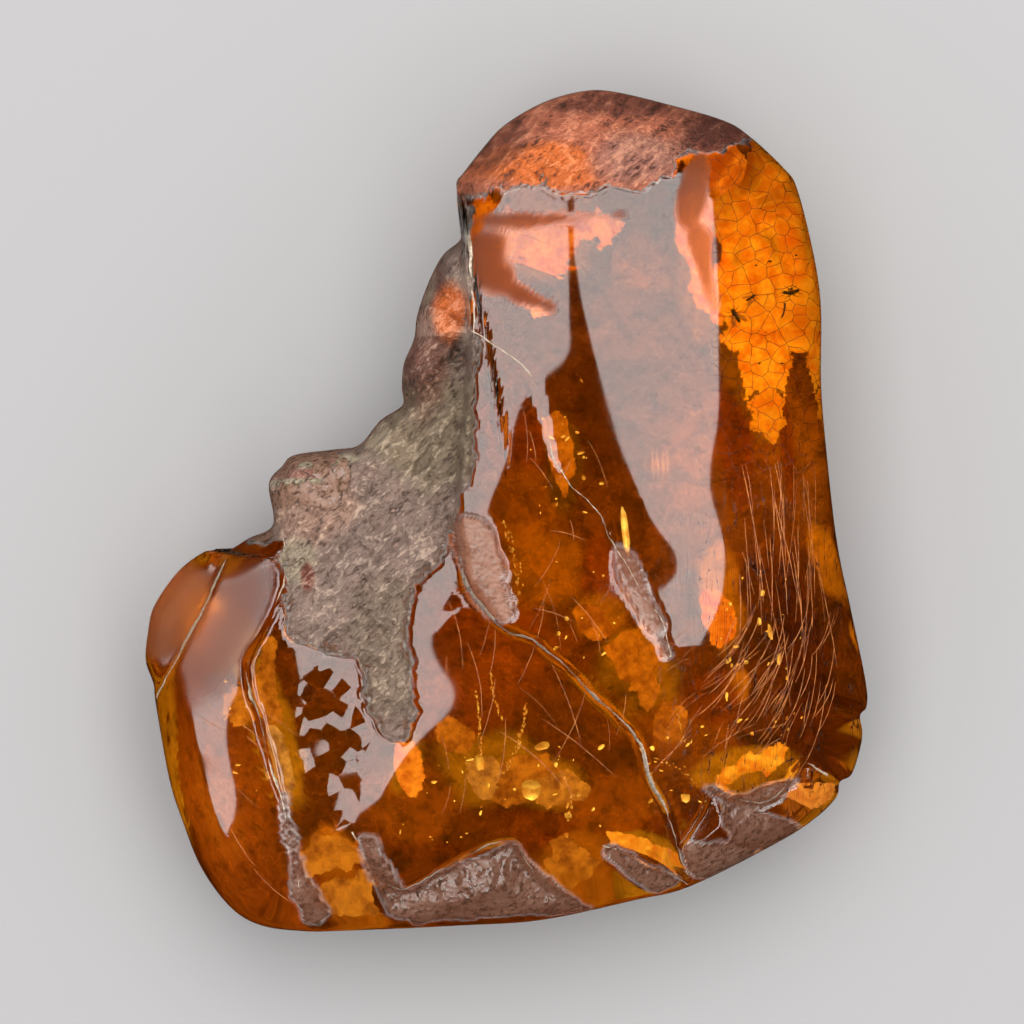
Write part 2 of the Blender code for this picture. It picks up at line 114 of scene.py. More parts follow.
def ridged(x: Array, y: Array, length: float, octaves: int, seed: int) -> Array:
    """Sharp crests from 0 to 1: one less the size of each noise, squared and summed by octaves."""
    total, weight = np.zeros(np.shape(x)), 0.0
    for octave in range(octaves):
        share = 0.55**octave
        fine = length * 0.5**octave
        total += share * (1 - np.abs(value_noise(x / fine, y / fine, seed + octave))) ** 2
        weight += share
    return total / weight


def terraced(value: Array, riser: float) -> Array:
    """Whole-number steps, each risen over the last share of the way."""
    step = np.floor(value)
    return step + ease((value - step - 1 + riser) / riser)


def lumps(x: Array, y: Array, length: float) -> Array:
    """Uneven ground of crossing sine waves of about this length, from -1 to 1."""
    turn = 2 * math.pi / length
    waves = np.sin(turn * (x + 0.6 * y) + 2.0 * np.sin(turn * 0.37 * y))
    return (waves + np.sin(turn * 1.31 * (y - 0.4 * x) + 1.7 * np.sin(turn * 0.45 * x + 1.0))) / 2


def margin(depth: Array, width: Array | float) -> Array:
    """Share of full height at a depth inside the outline: a quarter of an ellipse, then 1."""
    t = np.clip(depth / width, 0, 1)
    return np.sqrt(1 - (1 - t) ** 2)


def linear(colour: Sequence[float]) -> Array:
    """Screen colour from 0 to 255 as light from 0 to 1, by the screen's own curve."""
    c = np.asarray(colour, float) / 255.0
    return np.where(c <= 0.04045, c / 12.92, ((c + 0.055) / 1.055) ** 2.4)


# Lines and regions on the face


@dataclass(frozen=True)
class Reading:
    """What places know of a line: their distance, their side (1 left) and their share along it."""

    gap: Array
    side: Array
    share: Array


@dataclass(frozen=True)
class Line:
    """A smooth curve through places on the face."""

    places: tuple[Place, ...]
    closed: bool = False
    steps: int = 6

    @cached_property
    def points(self) -> Array:
        """The curve's points: a Catmull-Rom cubic from each place to the next."""
        p = np.array(self.places, float)
        if self.closed:
            before, after, last = np.roll(p, 1, 0), np.roll(p, -1, 0), np.roll(p, -2, 0)
        else:
            ends = np.vstack([2 * p[0] - p[1], p, 2 * p[-1] - p[-2]])
            before, p, after, last = ends[:-3], ends[1:-2], ends[2:-1], ends[3:]
        t = np.linspace(0, 1, self.steps, endpoint=False)[None, :, None]
        a, b, c, d = (q[:, None, :] for q in (before, p, after, last))
        first = 2 * b + (c - a) * t
        curve = first + (2 * a - 5 * b + 4 * c - d) * t**2 + (3 * b - a - 3 * c + d) * t**3
        curve = 0.5 * curve.reshape(-1, 2)
        return curve if self.closed else np.vstack([curve, after[-1:]])

    def read(self, x: Array, y: Array) -> Reading:
        """Nearest distance, side and share for each place.

        Args:
            x, y: places, as flat arrays.

        Returns:
            The reading of each place.
        """
        line = self.points
        starts = line if self.closed else line[:-1]
        runs = (np.roll(line, -1, 0) if self.closed else line[1:]) - starts
        lengths = np.maximum(np.linalg.norm(runs, axis=1), 1e-9)
        along = np.concatenate([[0], np.cumsum(lengths)])
        gap, side, share = np.full(x.shape, 1e9), np.ones(x.shape), np.zeros(x.shape)
        for start, run, length, before in zip(starts, runs, lengths, along):
            dx, dy = x - start[0], y - start[1]
            t = np.clip((dx * run[0] + dy * run[1]) / length**2, 0, 1)
            reach = np.hypot(dx - t * run[0], dy - t * run[1])
            closer = reach < gap
            gap = np.where(closer, reach, gap)
            side = np.where(closer, np.sign(run[0] * dy - run[1] * dx), side)
            share = np.where(closer, (before + t * length) / along[-1], share)
        return Reading(gap, side, share)

    def depth(self, x: Array, y: Array) -> Array:
        """Distance inside a closed line, less than zero outside.

        A place is inside where a level ray from it crosses the line an odd number of times.
        """
        inside = np.zeros(np.shape(x), bool)
        for start, end in zip(self.points, np.roll(self.points, -1, 0)):
            crosses = (start[1] > y) != (end[1] > y)
            rise = (end[1] - start[1]) or 1e-9
            inside ^= crosses & (x < start[0] + (y - start[1]) * (end[0] - start[0]) / rise)
        gap = self.read(x, y).gap
        return np.where(inside, gap, -gap)


@dataclass(frozen=True)
class Form:
    """A smooth surface that comes nearest to the tilts and heights of its knots.

    A knot is x, y, the rise along X, the rise along Y and, for a few, a height. The surface is a
    sum of cubed distances to the knots and a plane, with its weights found by least squares.
    """

    knots: tuple[tuple[float, ...], ...]
    height_pull: float = 0.2
    bend_pull: float = 0.002

    @cached_property
    def centres(self) -> Array:
        """Place of each knot."""
        return np.array([knot[:2] for knot in self.knots])

    def terms(self, x: Array, y: Array) -> tuple[Array, Array, Array]:
        """What each weight adds to the height, to the rise along X and to the rise along Y."""
        dx, dy = x[:, None] - self.centres[:, 0], y[:, None] - self.centres[:, 1]
        gap = np.hypot(dx, dy)
        one, zero = np.ones((len(x), 1)), np.zeros((len(x), 1))
        height = np.hstack([gap**3 * MM, one, x[:, None], y[:, None]])
        rise_x = np.hstack([3 * gap * dx * MM, zero, one, zero])
        rise_y = np.hstack([3 * gap * dy * MM, zero, zero, one])
        return height, rise_x, rise_y

    @cached_property
    def weights(self) -> Array:
        """The weights that fit the knots best."""
        height, rise_x, rise_y = self.terms(*self.centres.T)
        tilts = np.array([knot[2:4] for knot in self.knots])
        held = [i for i, knot in enumerate(self.knots) if len(knot) > 4]
        bend = self.bend_pull * np.eye(len(tilts), height.shape[1])
        rows = np.vstack([rise_x, rise_y, self.height_pull * height[held], bend])
        pulls = [self.height_pull * self.knots[i][4] for i in held]
        wanted = np.concatenate([tilts[:, 0], tilts[:, 1], pulls, np.zeros(len(tilts))])
        return np.linalg.lstsq(rows, wanted, rcond=None)[0]

    def heights(self, x: Array, y: Array) -> Array:
        """Height of the surface at each place."""
        return self.terms(x, y)[0] @ self.weights


@dataclass(frozen=True)
class Scar:
    """A flake scar: its edge, the depth there, how far it runs out and its fade at either end.

    The scar lies on the left of the edge as it is walked, or on the right if depth is negative.
    """

    edge: Line
    depth: float
    reach: float
    tail: float
    wall: float = 0.7

    def taken(self, found: Reading) -> Array:
        """How much the scar takes off the face: a wall at the edge, then an eased run-out.

        The run-out is short near the ends of the edge, where the scar fades.
        """
        side = found.side * math.copysign(1.0, self.depth)
        fade = ease(found.share / self.tail) * ease((1 - found.share) / self.tail)
        wall = ease(0.5 + side * found.gap / self.wall)
        reach = self.reach * (0.30 + 0.70 * ease(found.share / 0.6) * ease((1 - found.share) / 0.5))
        return abs(self.depth) * fade * wall * (1 - ease(found.gap / reach))


@dataclass(frozen=True)
class RoughGround:
    """Unpolished ground: its border, how deep it lies, its lumps, its grain and its ledges."""

    border: Line
    deep: float
    lump_height: float
    lump_length: float
    grain_height: float
    grain_length: float
    ledge_height: float = 0.0
    ragged: float = 0.8


@dataclass(frozen=True)
class Chip:
    """A conchoidal break: its border, the place it was struck, its depth and its finish."""

    border: Line
    struck: Place
    deep: float = 0.12
    ripple: float = 0.05
    wave: float = 1.6
    solid: float = 0.6
    pale: float = 0.0


@dataclass(frozen=True)
class Survey:
    """The face at many places: height, how crusty, frosted and pale from 0 to 1, and crust relief."""

    height: Array
    crust: Array
    frost: Array
    pale: Array
    relief: Array


@dataclass
class Face:
    """The front of the amber: three smooth forms with flake scars and rough ground."""

    outline: Line
    column: Form
    left_lobe: Form
    far_left_lobe: Form
    column_edge: Line
    far_left_edge: Line
    roundings: tuple[tuple[float, float, float], ...]
    scars: dict[str, Scar]
    grounds: dict[str, RoughGround]
    chips: tuple[Chip, ...]
    wall: float = 0.7
    wave_height: float = 0.009
    wave_length: float = 9.0
    # How far the clear amber stays below the crust that covers it
    crust_thickness: float = 0.45

    @cached_property
    def middle(self) -> Array:
        """Middle of the outline's bounds, which is the origin of the frame."""
        return (self.outline.points.min(0) + self.outline.points.max(0)) / 2

    def rounding(self, x: Array, y: Array) -> Array:
        """Width of the rounded margin near a place: the nearest stated widths, blended."""
        total, weights = np.zeros(x.shape), np.zeros(x.shape)
        for px, py, width in self.roundings:
            near = 1 / ((x - px) ** 2 + (y - py) ** 2 + 4.0) ** 2
            total, weights = total + near * width, weights + near
        return total / weights

    def depth(self, x: Array, y: Array) -> Array:
        """Distance inside the outline."""
        return self.outline.depth(x + self.middle[0], y + self.middle[1])

    def forms(self, x: Array, y: Array) -> tuple[Array, Reading, Reading]:
        """Height of the three forms with the walls between them, and both walls' readings."""
        column, far = self.column_edge.read(x, y), self.far_left_edge.read(x, y)
        # The walls are ragged by a fraction of a millimetre, as a conchoidal break is
        wander = 0.25 * fractal(x, y, 1.6, 3, 5)
        top = self.left_lobe.heights(x, y)
        right = ease(0.5 - (column.side * column.gap + wander) / self.wall)
        top = top + (self.column.heights(x, y) - top) * right
        left = ease(0.5 - (far.side * far.gap + wander) / self.wall)
        return top + (self.far_left_lobe.heights(x, y) - top) * left, column, far

    def grounds_at(self, x: Array, y: Array) -> tuple[Array, Array, Array]:
        """How deep rough ground lies at each place, how far inside it is, and its relief.

        The relief is sharp crests drawn out along the rising diagonal, with ledges where the
        ground has them: noise cut in steps, each with a riser.
        """
        sunk, inner = np.zeros(x.shape), np.full(x.shape, -9.0)
        relief = np.zeros(x.shape)
        for number, ground in enumerate(self.grounds.values()):
            wander = ground.ragged * fractal(x, y, 2.2, 5, 40 + number)
            depth = ground.border.depth(x, y) + wander + 0.35 * fractal(x + y, 0.4 * (y - x), 0.7, 2, 50 + number)
            inside = ease(0.5 + depth / 0.7)
            bend = 0.35 * fractal(x, y, 3.0, 2, 60 + number)
            along, across = (x + y) / 2.1 + bend, (y - x) * 0.9 + bend
            crests = ridged(along, across, ground.grain_length, 4, 70 + number) - 0.55
            fine = fractal(x, y, 0.5, 2, 80 + number)
            steps = terraced(2.2 * fractal(0.5 * x, y + 0.3 * x, 4.2, 3, 90 + number), 0.3)
            shape = ground.grain_height * (crests + 0.25 * fine) + ground.ledge_height * steps
            relief = relief + inside * shape
            sunk = sunk + inside * (ground.deep + ground.lump_height * lumps(x, y, ground.lump_length))
            inner = np.maximum(inner, depth)
        return sunk, inner, relief

    def survey(self, x: Array, y: Array, crusted: bool = False) -> Survey:
        """Heights and finishes of the face.

        Args:
            x, y: places, as flat arrays.
            crusted: True for the top of the crust, False for the clear amber below it.

        Returns:
            The survey of each place.
        """
        top, _, _ = self.forms(x, y)
        for scar in self.scars.values():
            top = top - scar.taken(scar.edge.read(x, y))
        sunk, inner, relief = self.grounds_at(x, y)
        crust = ease(0.5 + inner / 0.7)
        if crusted:
            top = top - sunk + relief - 0.7 * ease(-inner / 0.7)
        else:
            top = top - sunk - self.crust_thickness * ease(0.3 + inner / 0.9)
        frost, pale = np.zeros(x.shape), np.zeros(x.shape)
        for number, chip in enumerate(self.chips):
            depth = chip.border.depth(x, y) + 0.6 * fractal(x, y, 1.6, 4, 120 + number)
            inside = ease(0.5 + depth / 0.6)
            # Rings round the place where the chip was struck, drawn closer as they run out
            reach = np.hypot(x - chip.struck[0], y - chip.struck[1]) + 0.5 * fractal(x, y, 3.0, 3, 9)
            rings = np.abs(np.sin(math.pi * reach / chip.wave)) ** 1.5
            top = top - inside * (chip.deep + chip.ripple * (rings - fractal(x, y, 0.9, 2, 11)))
            cloudy = inside * chip.solid * np.clip(1 + 0.5 * fractal(x, y, 2.4, 4, 140 + number), 0.5, 1.3)
            frost, pale = np.maximum(frost, cloudy), np.maximum(pale, inside * chip.pale)
        top = top + self.wave_height * fractal(x, y, self.wave_length, 2, 17) * (1 - crust)
        height = PARTING_Z + (top - PARTING_Z) * margin(self.depth(x, y), self.rounding(x, y))
        return Survey(height, crust, frost, pale, relief)


# What the camera sees through the face


@dataclass
class Studio:
    """Camera, pale floor and two soft panels, set as for the photograph."""

    eye: tuple[float, float, float] = (0.49, -0.09, 649.0)
    view_width: float = 91.65
    sensor_width: float = 36.0
    panel_height: float = 500.0
    panel_axis: float = 8.0
    panel_strength: float = 6.5
    world_strength: float = 1.35
    floor_size: float = 3000.0
    floor_drop: float = 0.2
    exposure: float = 0.0
    # Outline of the right panel, measured from the axis between both: a straight inner edge that
    # slants away from the middle below a corner
    panel_corners: tuple[Place, ...] = (
        (4.0, 420.0),
        (4.0, 30.0),
        (113.0, -240.0),
        (207.0, -240.0),
        (207.0, 420.0),
    )

    def build_camera(self) -> bpy.types.Object:
        """A long lens straight above the face, framed as the photograph is."""
        data = bpy.data.cameras.new("photo_camera")
        data.sensor_width = self.sensor_width
        data.lens = self.sensor_width * (self.eye[2] - PARTING_Z) / self.view_width
        data.clip_end = 20.0
        camera = bpy.data.objects.new("photo_camera", data)
        camera.location = [v * MM for v in self.eye]
        bpy.context.scene.collection.objects.link(camera)
        bpy.context.scene.camera = camera
        return camera

    def build_panels(self) -> list[bpy.types.Object]:
        """Two bright flat panels that mirror each other across the axis between them."""
        glow = bpy.data.materials.new("panel_glow")
        glow.use_nodes = True
        tree = glow.node_tree
        tree.nodes.clear()
        emission = tree.nodes.new("ShaderNodeEmission")
        emission.inputs["Color"].default_value = (1.0, 0.965, 0.93, 1.0)
        emission.inputs["Strength"].default_value = self.panel_strength
        output = tree.nodes.new("ShaderNodeOutputMaterial")
        tree.links.new(emission.outputs[0], output.inputs["Surface"])
        panels = []
        for name, side in (("panel_left", -1.0), ("panel_right", 1.0)):
            corners = [(self.panel_axis + side * a, b, self.panel_height) for a, b in self.panel_corners]
            panel = make_object(name, np.array(corners), [list(range(len(corners)))], glow)
            panel.visible_camera = False
            panels.append(panel)
        return panels

    def build_floor(self) -> bpy.types.Object:
        """A pale matte floor just under the amber."""
        half = self.floor_size / 2
        z = -self.floor_drop
        corners = np.array([(-half, -half, z), (half, -half, z), (half, half, z), (-half, half, z)])
        paper = bpy.data.materials.new("floor_paper")
        paper.use_nodes = True
        shader = paper.node_tree.nodes["Principled BSDF"]
        shader.inputs["Base Color"].default_value = (0.27, 0.27, 0.275, 1.0)
        shader.inputs["Roughness"].default_value = 0.9
        floor = make_object("floor", corners, [[0, 1, 2, 3]], paper)
        # The polished rim mirrors no floor, as in a dark room
        floor.visible_glossy = False
        return floor

    def light_world(self) -> None:
        """An even pale surround."""
        world = bpy.data.worlds.new("surround")
        world.use_nodes = True
        background = world.node_tree.nodes["Background"]
        background.inputs["Color"].default_value = (0.98, 0.98, 1.0, 1.0)
        background.inputs["Strength"].default_value = self.world_strength
        scene = bpy.context.scene
        scene.world = world
        # The polished face mirrors the panels and the floor alone, as in a dark room
        world.cycles_visibility.glossy = False
        scene.view_settings.view_transform = "Standard"
        scene.view_settings.exposure = self.exposure
        scene.cycles.use_denoising = True

    def build(self) -> None:
        """Builds the camera, the floor and the lights."""
        self.build_camera()
        self.build_floor()
        self.build_panels()
        self.light_world()
        LOG.info("studio: camera %.0f mm up, panels %.0f mm up", self.eye[2], self.panel_height)


@dataclass
class Sight:
    """Lines of sight from the camera, bent where they enter the face.

    The face is read on a raster of squares. At each raster place the ray from the camera is bent
    by Snell's law about the face's normal, and the bent slope is kept, so that a place seen in
    the photograph can be followed down to any height inside the amber.
    """

    face: Face
    eye: tuple[float, float, float]
    ior: float = 1.54
    spacing: float = 0.6
    half_width: float = 34.0
    half_height: float = 39.0

    @cached_property
    def raster(self) -> tuple[Array, Array, Array]:
        """Height of the face, and the bent ray's slope along X and Y, on the raster."""
        columns = np.arange(-self.half_width, self.half_width, self.spacing)
        rows = np.arange(-self.half_height, self.half_height, self.spacing)
        x, y = np.meshgrid(columns, rows)
        depth = self.face.depth(x.ravel(), y.ravel()).reshape(x.shape)
        top = self.face.forms(x.ravel(), y.ravel())[0].reshape(x.shape)
        width = self.face.rounding(x, y)
        z = PARTING_Z + (top - PARTING_Z) * margin(depth, width)
        rise_y, rise_x = np.gradient(z, self.spacing)
        normal = np.stack([-rise_x, -rise_y, np.ones_like(z)], -1)
        normal /= np.linalg.norm(normal, axis=-1, keepdims=True)
        ray = np.stack([x, y, z], -1) - np.array(self.eye)
        ray /= np.linalg.norm(ray, axis=-1, keepdims=True)
        facing = -(ray * normal).sum(-1, keepdims=True)
        ratio = 1 / self.ior
        inner = np.sqrt(1 - ratio**2 * (1 - facing**2))
        bent = ratio * ray + (ratio * facing - inner) * normal
        limit = 0.8
        slope_x = np.clip(bent[..., 0] / -bent[..., 2], -limit, limit)
        slope_y = np.clip(bent[..., 1] / -bent[..., 2], -limit, limit)
        return z, slope_x, slope_y

    def sample(self, values: Array, x: Array, y: Array) -> Array:
        """Raster values at any place, weighted by nearness to the four raster places round it."""
        u = np.clip((x + self.half_width) / self.spacing, 0, values.shape[1] - 1.001)
        v = np.clip((y + self.half_height) / self.spacing, 0, values.shape[0] - 1.001)
        column, row = u.astype(int), v.astype(int)
        u, v = u - column, v - row
        low = values[row, column] * (1 - u) + values[row, column + 1] * u
        high = values[row + 1, column] * (1 - u) + values[row + 1, column + 1] * u
        return low * (1 - v) + high * v

    def below(self, x: Array, y: Array, z: Array | float) -> tuple[Array, Array]:
        """Where the line of sight through a seen place is when it has come down to height z."""
        # A place is named on the parting plane, and its ray meets the face a little nearer the axis
        top = self.sample(self.raster[0], x, y)
        lean = (top - PARTING_Z) / (self.eye[2] - PARTING_Z)
        x, y = x + (self.eye[0] - x) * lean, y + (self.eye[1] - y) * lean
        drop = self.sample(self.raster[0], x, y) - z
        slope_x, slope_y = (self.sample(s, x, y) for s in self.raster[1:])
        return x + drop * slope_x, y + drop * slope_y

    def under(self, x: float, y: float, deep: float) -> Array:
        """The place inside the amber, this deep under the face, that is seen at x, y."""
        px, py = np.array([x]), np.array([y])
        z = self.sample(self.raster[0], px, py) - deep
        px, py = self.below(px, py, z)
        return np.array([px[0], py[0], z[0]])

    def seen(self, x: Array, y: Array, z: Array) -> tuple[Array, Array]:
        """Where inner places appear: guesses moved by their own error, a few times over."""
        seen_x, seen_y = x.copy(), y.copy()
        for _ in range(8):
            got_x, got_y = self.below(seen_x, seen_y, z)
            seen_x, seen_y = seen_x + 0.7 * (x - got_x), seen_y + 0.7 * (y - got_y)
        return seen_x, seen_y


# Meshes


def make_object(
    name: str,
    points: Array,
    faces: Iterable[Sequence[int]],
    material: bpy.types.Material | None = None,
    smooth: bool = False,
) -> bpy.types.Object:
    """An object at the origin from points in millimetres.

    Args:
        name: the object's name.
        points: one row of x, y, z for each vertex.
        faces: vertex numbers of each face.
        material: finish, if any.
        smooth: True to shade it smooth.

    Returns:
        The new object, linked to the scene.
    """
    mesh = bpy.data.meshes.new(name)
    mesh.from_pydata((np.asarray(points, float) * MM).tolist(), [], faces)
    mesh.update()
    if smooth:
        mesh.shade_smooth()
    if material:
        mesh.materials.append(material)
    made = bpy.data.objects.new(name, mesh)
    bpy.context.scene.collection.objects.link(made)
    return made


def grid_faces(rows: int, columns: int, round_rows: bool = False, round_columns: bool = False) -> Array:
    """Four-sided faces of a grid of points numbered row by row.

    Args:
        rows, columns: how many points each way.
        round_rows, round_columns: True to join the last row or column to the first.

    Returns:
        One row of four vertex numbers for each face.
    """
    i, j = np.meshgrid(
        np.arange(rows if round_rows else rows - 1),
        np.arange(columns if round_columns else columns - 1),
        indexing="ij",
    )
    i, j = i.ravel(), j.ravel()
    up, right = (i + 1) % rows, (j + 1) % columns
    return np.stack([i * columns + j, i * columns + right, up * columns + right, up * columns + j], 1)


@dataclass
class Heap:
    """Many small surfaces gathered in one mesh."""

    points: list[Array] = field(default_factory=list)
    faces: list[Array] = field(default_factory=list)
    size: int = 0

    def add(self, points: Array, faces: Array) -> None:
        """Adds one surface."""
        self.points.append(points)
        self.faces.append(faces + self.size)
        self.size += len(points)

    def make(self, name: str, material: bpy.types.Material, slot: str) -> bpy.types.Object:
        """Makes the object, which rides on the amber's body and takes the given finish."""
        faces = [face for part in self.faces for face in part.tolist()]
        made = make_object(name, np.vstack(self.points), faces, material, smooth=True)
        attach(made, BODY)
        LOG.info("%s: %d surfaces, %d faces", name, len(self.points), len(faces))
        return made


def ball(centre: Array, axes: Array, rings: int = 10, segments: int = 16) -> tuple[Array, Array]:
    """A closed ball: a grid over longitude and latitude, with its poles drawn together.

    Args:
        centre: its middle.
        axes: three rows, each a half axis as a vector.
        rings, segments: points along a meridian and round the equator.

    Returns:
        Points and faces.
    """
    turn = np.linspace(0, 2 * math.pi, segments, endpoint=False)
    rise = np.linspace(-math.pi / 2 + 0.02, math.pi / 2 - 0.02, rings)
    around, up = np.meshgrid(turn, rise)
    unit = np.stack([np.cos(up) * np.cos(around), np.cos(up) * np.sin(around), np.sin(up)], -1)
    return centre + unit.reshape(-1, 3) @ axes, grid_faces(rings, segments, round_columns=True)


def tube(path: Array, radii: Array, segments: int = 8) -> tuple[Array, Array]:
    """A tube along a path: at each point, a circle square to the path's direction there.

    Args:
        path: points of the middle line.
        radii: radius at each.
        segments: points round each circle.

    Returns:
        Points and faces.
    """
    run = np.gradient(path, axis=0)
    run /= np.linalg.norm(run, axis=1, keepdims=True)
    side = np.cross(run, [0.0, 0.0, 1.0])
    side /= np.maximum(np.linalg.norm(side, axis=1, keepdims=True), 1e-6)
    other = np.cross(side, run)
    turn = np.linspace(0, 2 * math.pi, segments, endpoint=False)
    circle = np.cos(turn)[None, :, None] * side[:, None] + np.sin(turn)[None, :, None] * other[:, None]
    points = path[:, None] + circle * np.asarray(radii)[:, None, None]
    return points.reshape(-1, 3), grid_faces(len(path), segments, round_columns=True)


# Finishes


class Tree:
    """Short calls that build one material's node tree."""

    def __init__(self, name: str) -> None:
        self.material = bpy.data.materials.new(name)
        self.material.use_nodes = True
        self.nodes = self.material.node_tree.nodes
        self.links = self.material.node_tree.links
        self.shader = self.nodes["Principled BSDF"]
        self.output = self.nodes["Material Output"]
        self.place = self.nodes.new("ShaderNodeTexCoord").outputs["Object"]

    def set(self, **values: Any) -> None:
        """Sets or links the shader's inputs, named with _ for a space."""
        for name, value in values.items():
            self.feed(self.shader.inputs[name.replace("_", " ")], value)

    def feed(self, socket: Any, value: Any) -> None:
        """Links a socket to another, or sets its value."""
        if isinstance(value, bpy.types.NodeSocket):
            self.links.new(value, socket)
        else:
            socket.default_value = value

    def node(self, kind: str, inputs: dict[Any, Any], result: Any = 0, **settings: Any) -> Any:
        """Adds a node with these inputs and settings, and returns one of its outputs."""
        made = self.nodes.new(kind)
        for key, value in settings.items():
            setattr(made, key, value)
        for key, value in inputs.items():
            self.feed(made.inputs[key], value)
        return made.outputs[result]

    def noise(
        self, size: float, detail: float = 4.0, stretch: Sequence[float] = (1, 1, 1), turn: float = 0.0, **more: float
    ) -> Any:
        """Noise whose largest lumps are about size millimetres, turned, then stretched along X, Y and Z."""
        turned = self.node("ShaderNodeMapping", {"Vector": self.place, "Rotation": (0.0, 0.0, math.radians(-turn))})
        scale = self.node("ShaderNodeMapping", {"Vector": turned, "Scale": [1 / s for s in stretch]})
        inputs = {"Vector": scale, "Scale": 1 / (size * MM), "Detail": detail}
        return self.node("ShaderNodeTexNoise", {**inputs, **more}, "Fac")

    def cracks(self, size: float, width: float, twist: float = 0.4) -> Any:
        """1 on the borders of cells of about size millimetres, 0 inside them."""
        wobble = self.node(
            "ShaderNodeTexNoise", {"Vector": self.place, "Scale": 0.6 / (size * MM), "Detail": 0.0}, "Color"
        )
        moved = self.node(
            "ShaderNodeVectorMath",
            {0: wobble, 1: (twist * size * MM,) * 3, 2: self.place},
            operation="MULTIPLY_ADD",
        )
        edge = self.node(
            "ShaderNodeTexVoronoi",
            {"Vector": moved, "Scale": 1 / (size * MM)},
            "Distance",
            feature="DISTANCE_TO_EDGE",
            voronoi_dimensions="2D",
        )
        return self.ramp(edge, [(0.0, 1.0), (width / size, 0.0)])

    def ramp(self, value: Any, stops: Sequence[tuple[float, Any]]) -> Any:
        """A ramp through stops of a number or a colour."""
        made = self.nodes.new("ShaderNodeValToRGB")
        ramp = made.color_ramp
        while len(ramp.elements) < len(stops):
            ramp.elements.new(1.0)
        for element, (at, shade) in zip(ramp.elements, stops):
            element.position = at
            element.color = (shade,) * 3 + (1.0,) if isinstance(shade, (int, float)) else (*shade, 1.0)
        self.feed(made.inputs["Fac"], value)
        return made.outputs["Color"]

    def maths(self, operation: str, *values: Any, clamp: bool = False) -> Any:
        """One arithmetic step."""
        return self.node(
            "ShaderNodeMath", dict(enumerate(values)), operation=operation, use_clamp=clamp
        )

    def mix(self, share: Any, first: Any, second: Any, blend: str = "MIX") -> Any:
        """A blend of two colours."""
        made = self.nodes.new("ShaderNodeMix")
        made.data_type = "RGBA"
        made.blend_type = blend
        for key, value in ((0, share), (6, first), (7, second)):
            self.feed(made.inputs[key], value if not isinstance(value, tuple) else (*value[:3], 1.0))
        return made.outputs[2]

    def reading(self, name: str, result: str = "Fac") -> Any:
        """A value stored on the mesh."""
        return self.node("ShaderNodeAttribute", {}, result, attribute_name=name)

    def bump(self, height: Any, distance: float, strength: Any = 1.0, normal: Any = None) -> Any:
        """Relief of this many millimetres from a height of 0 to 1."""
        inputs = {"Height": height, "Distance": distance * MM, "Strength": strength}
        if normal is not None:
            inputs["Normal"] = normal
        return self.node("ShaderNodeBump", inputs, "Normal")


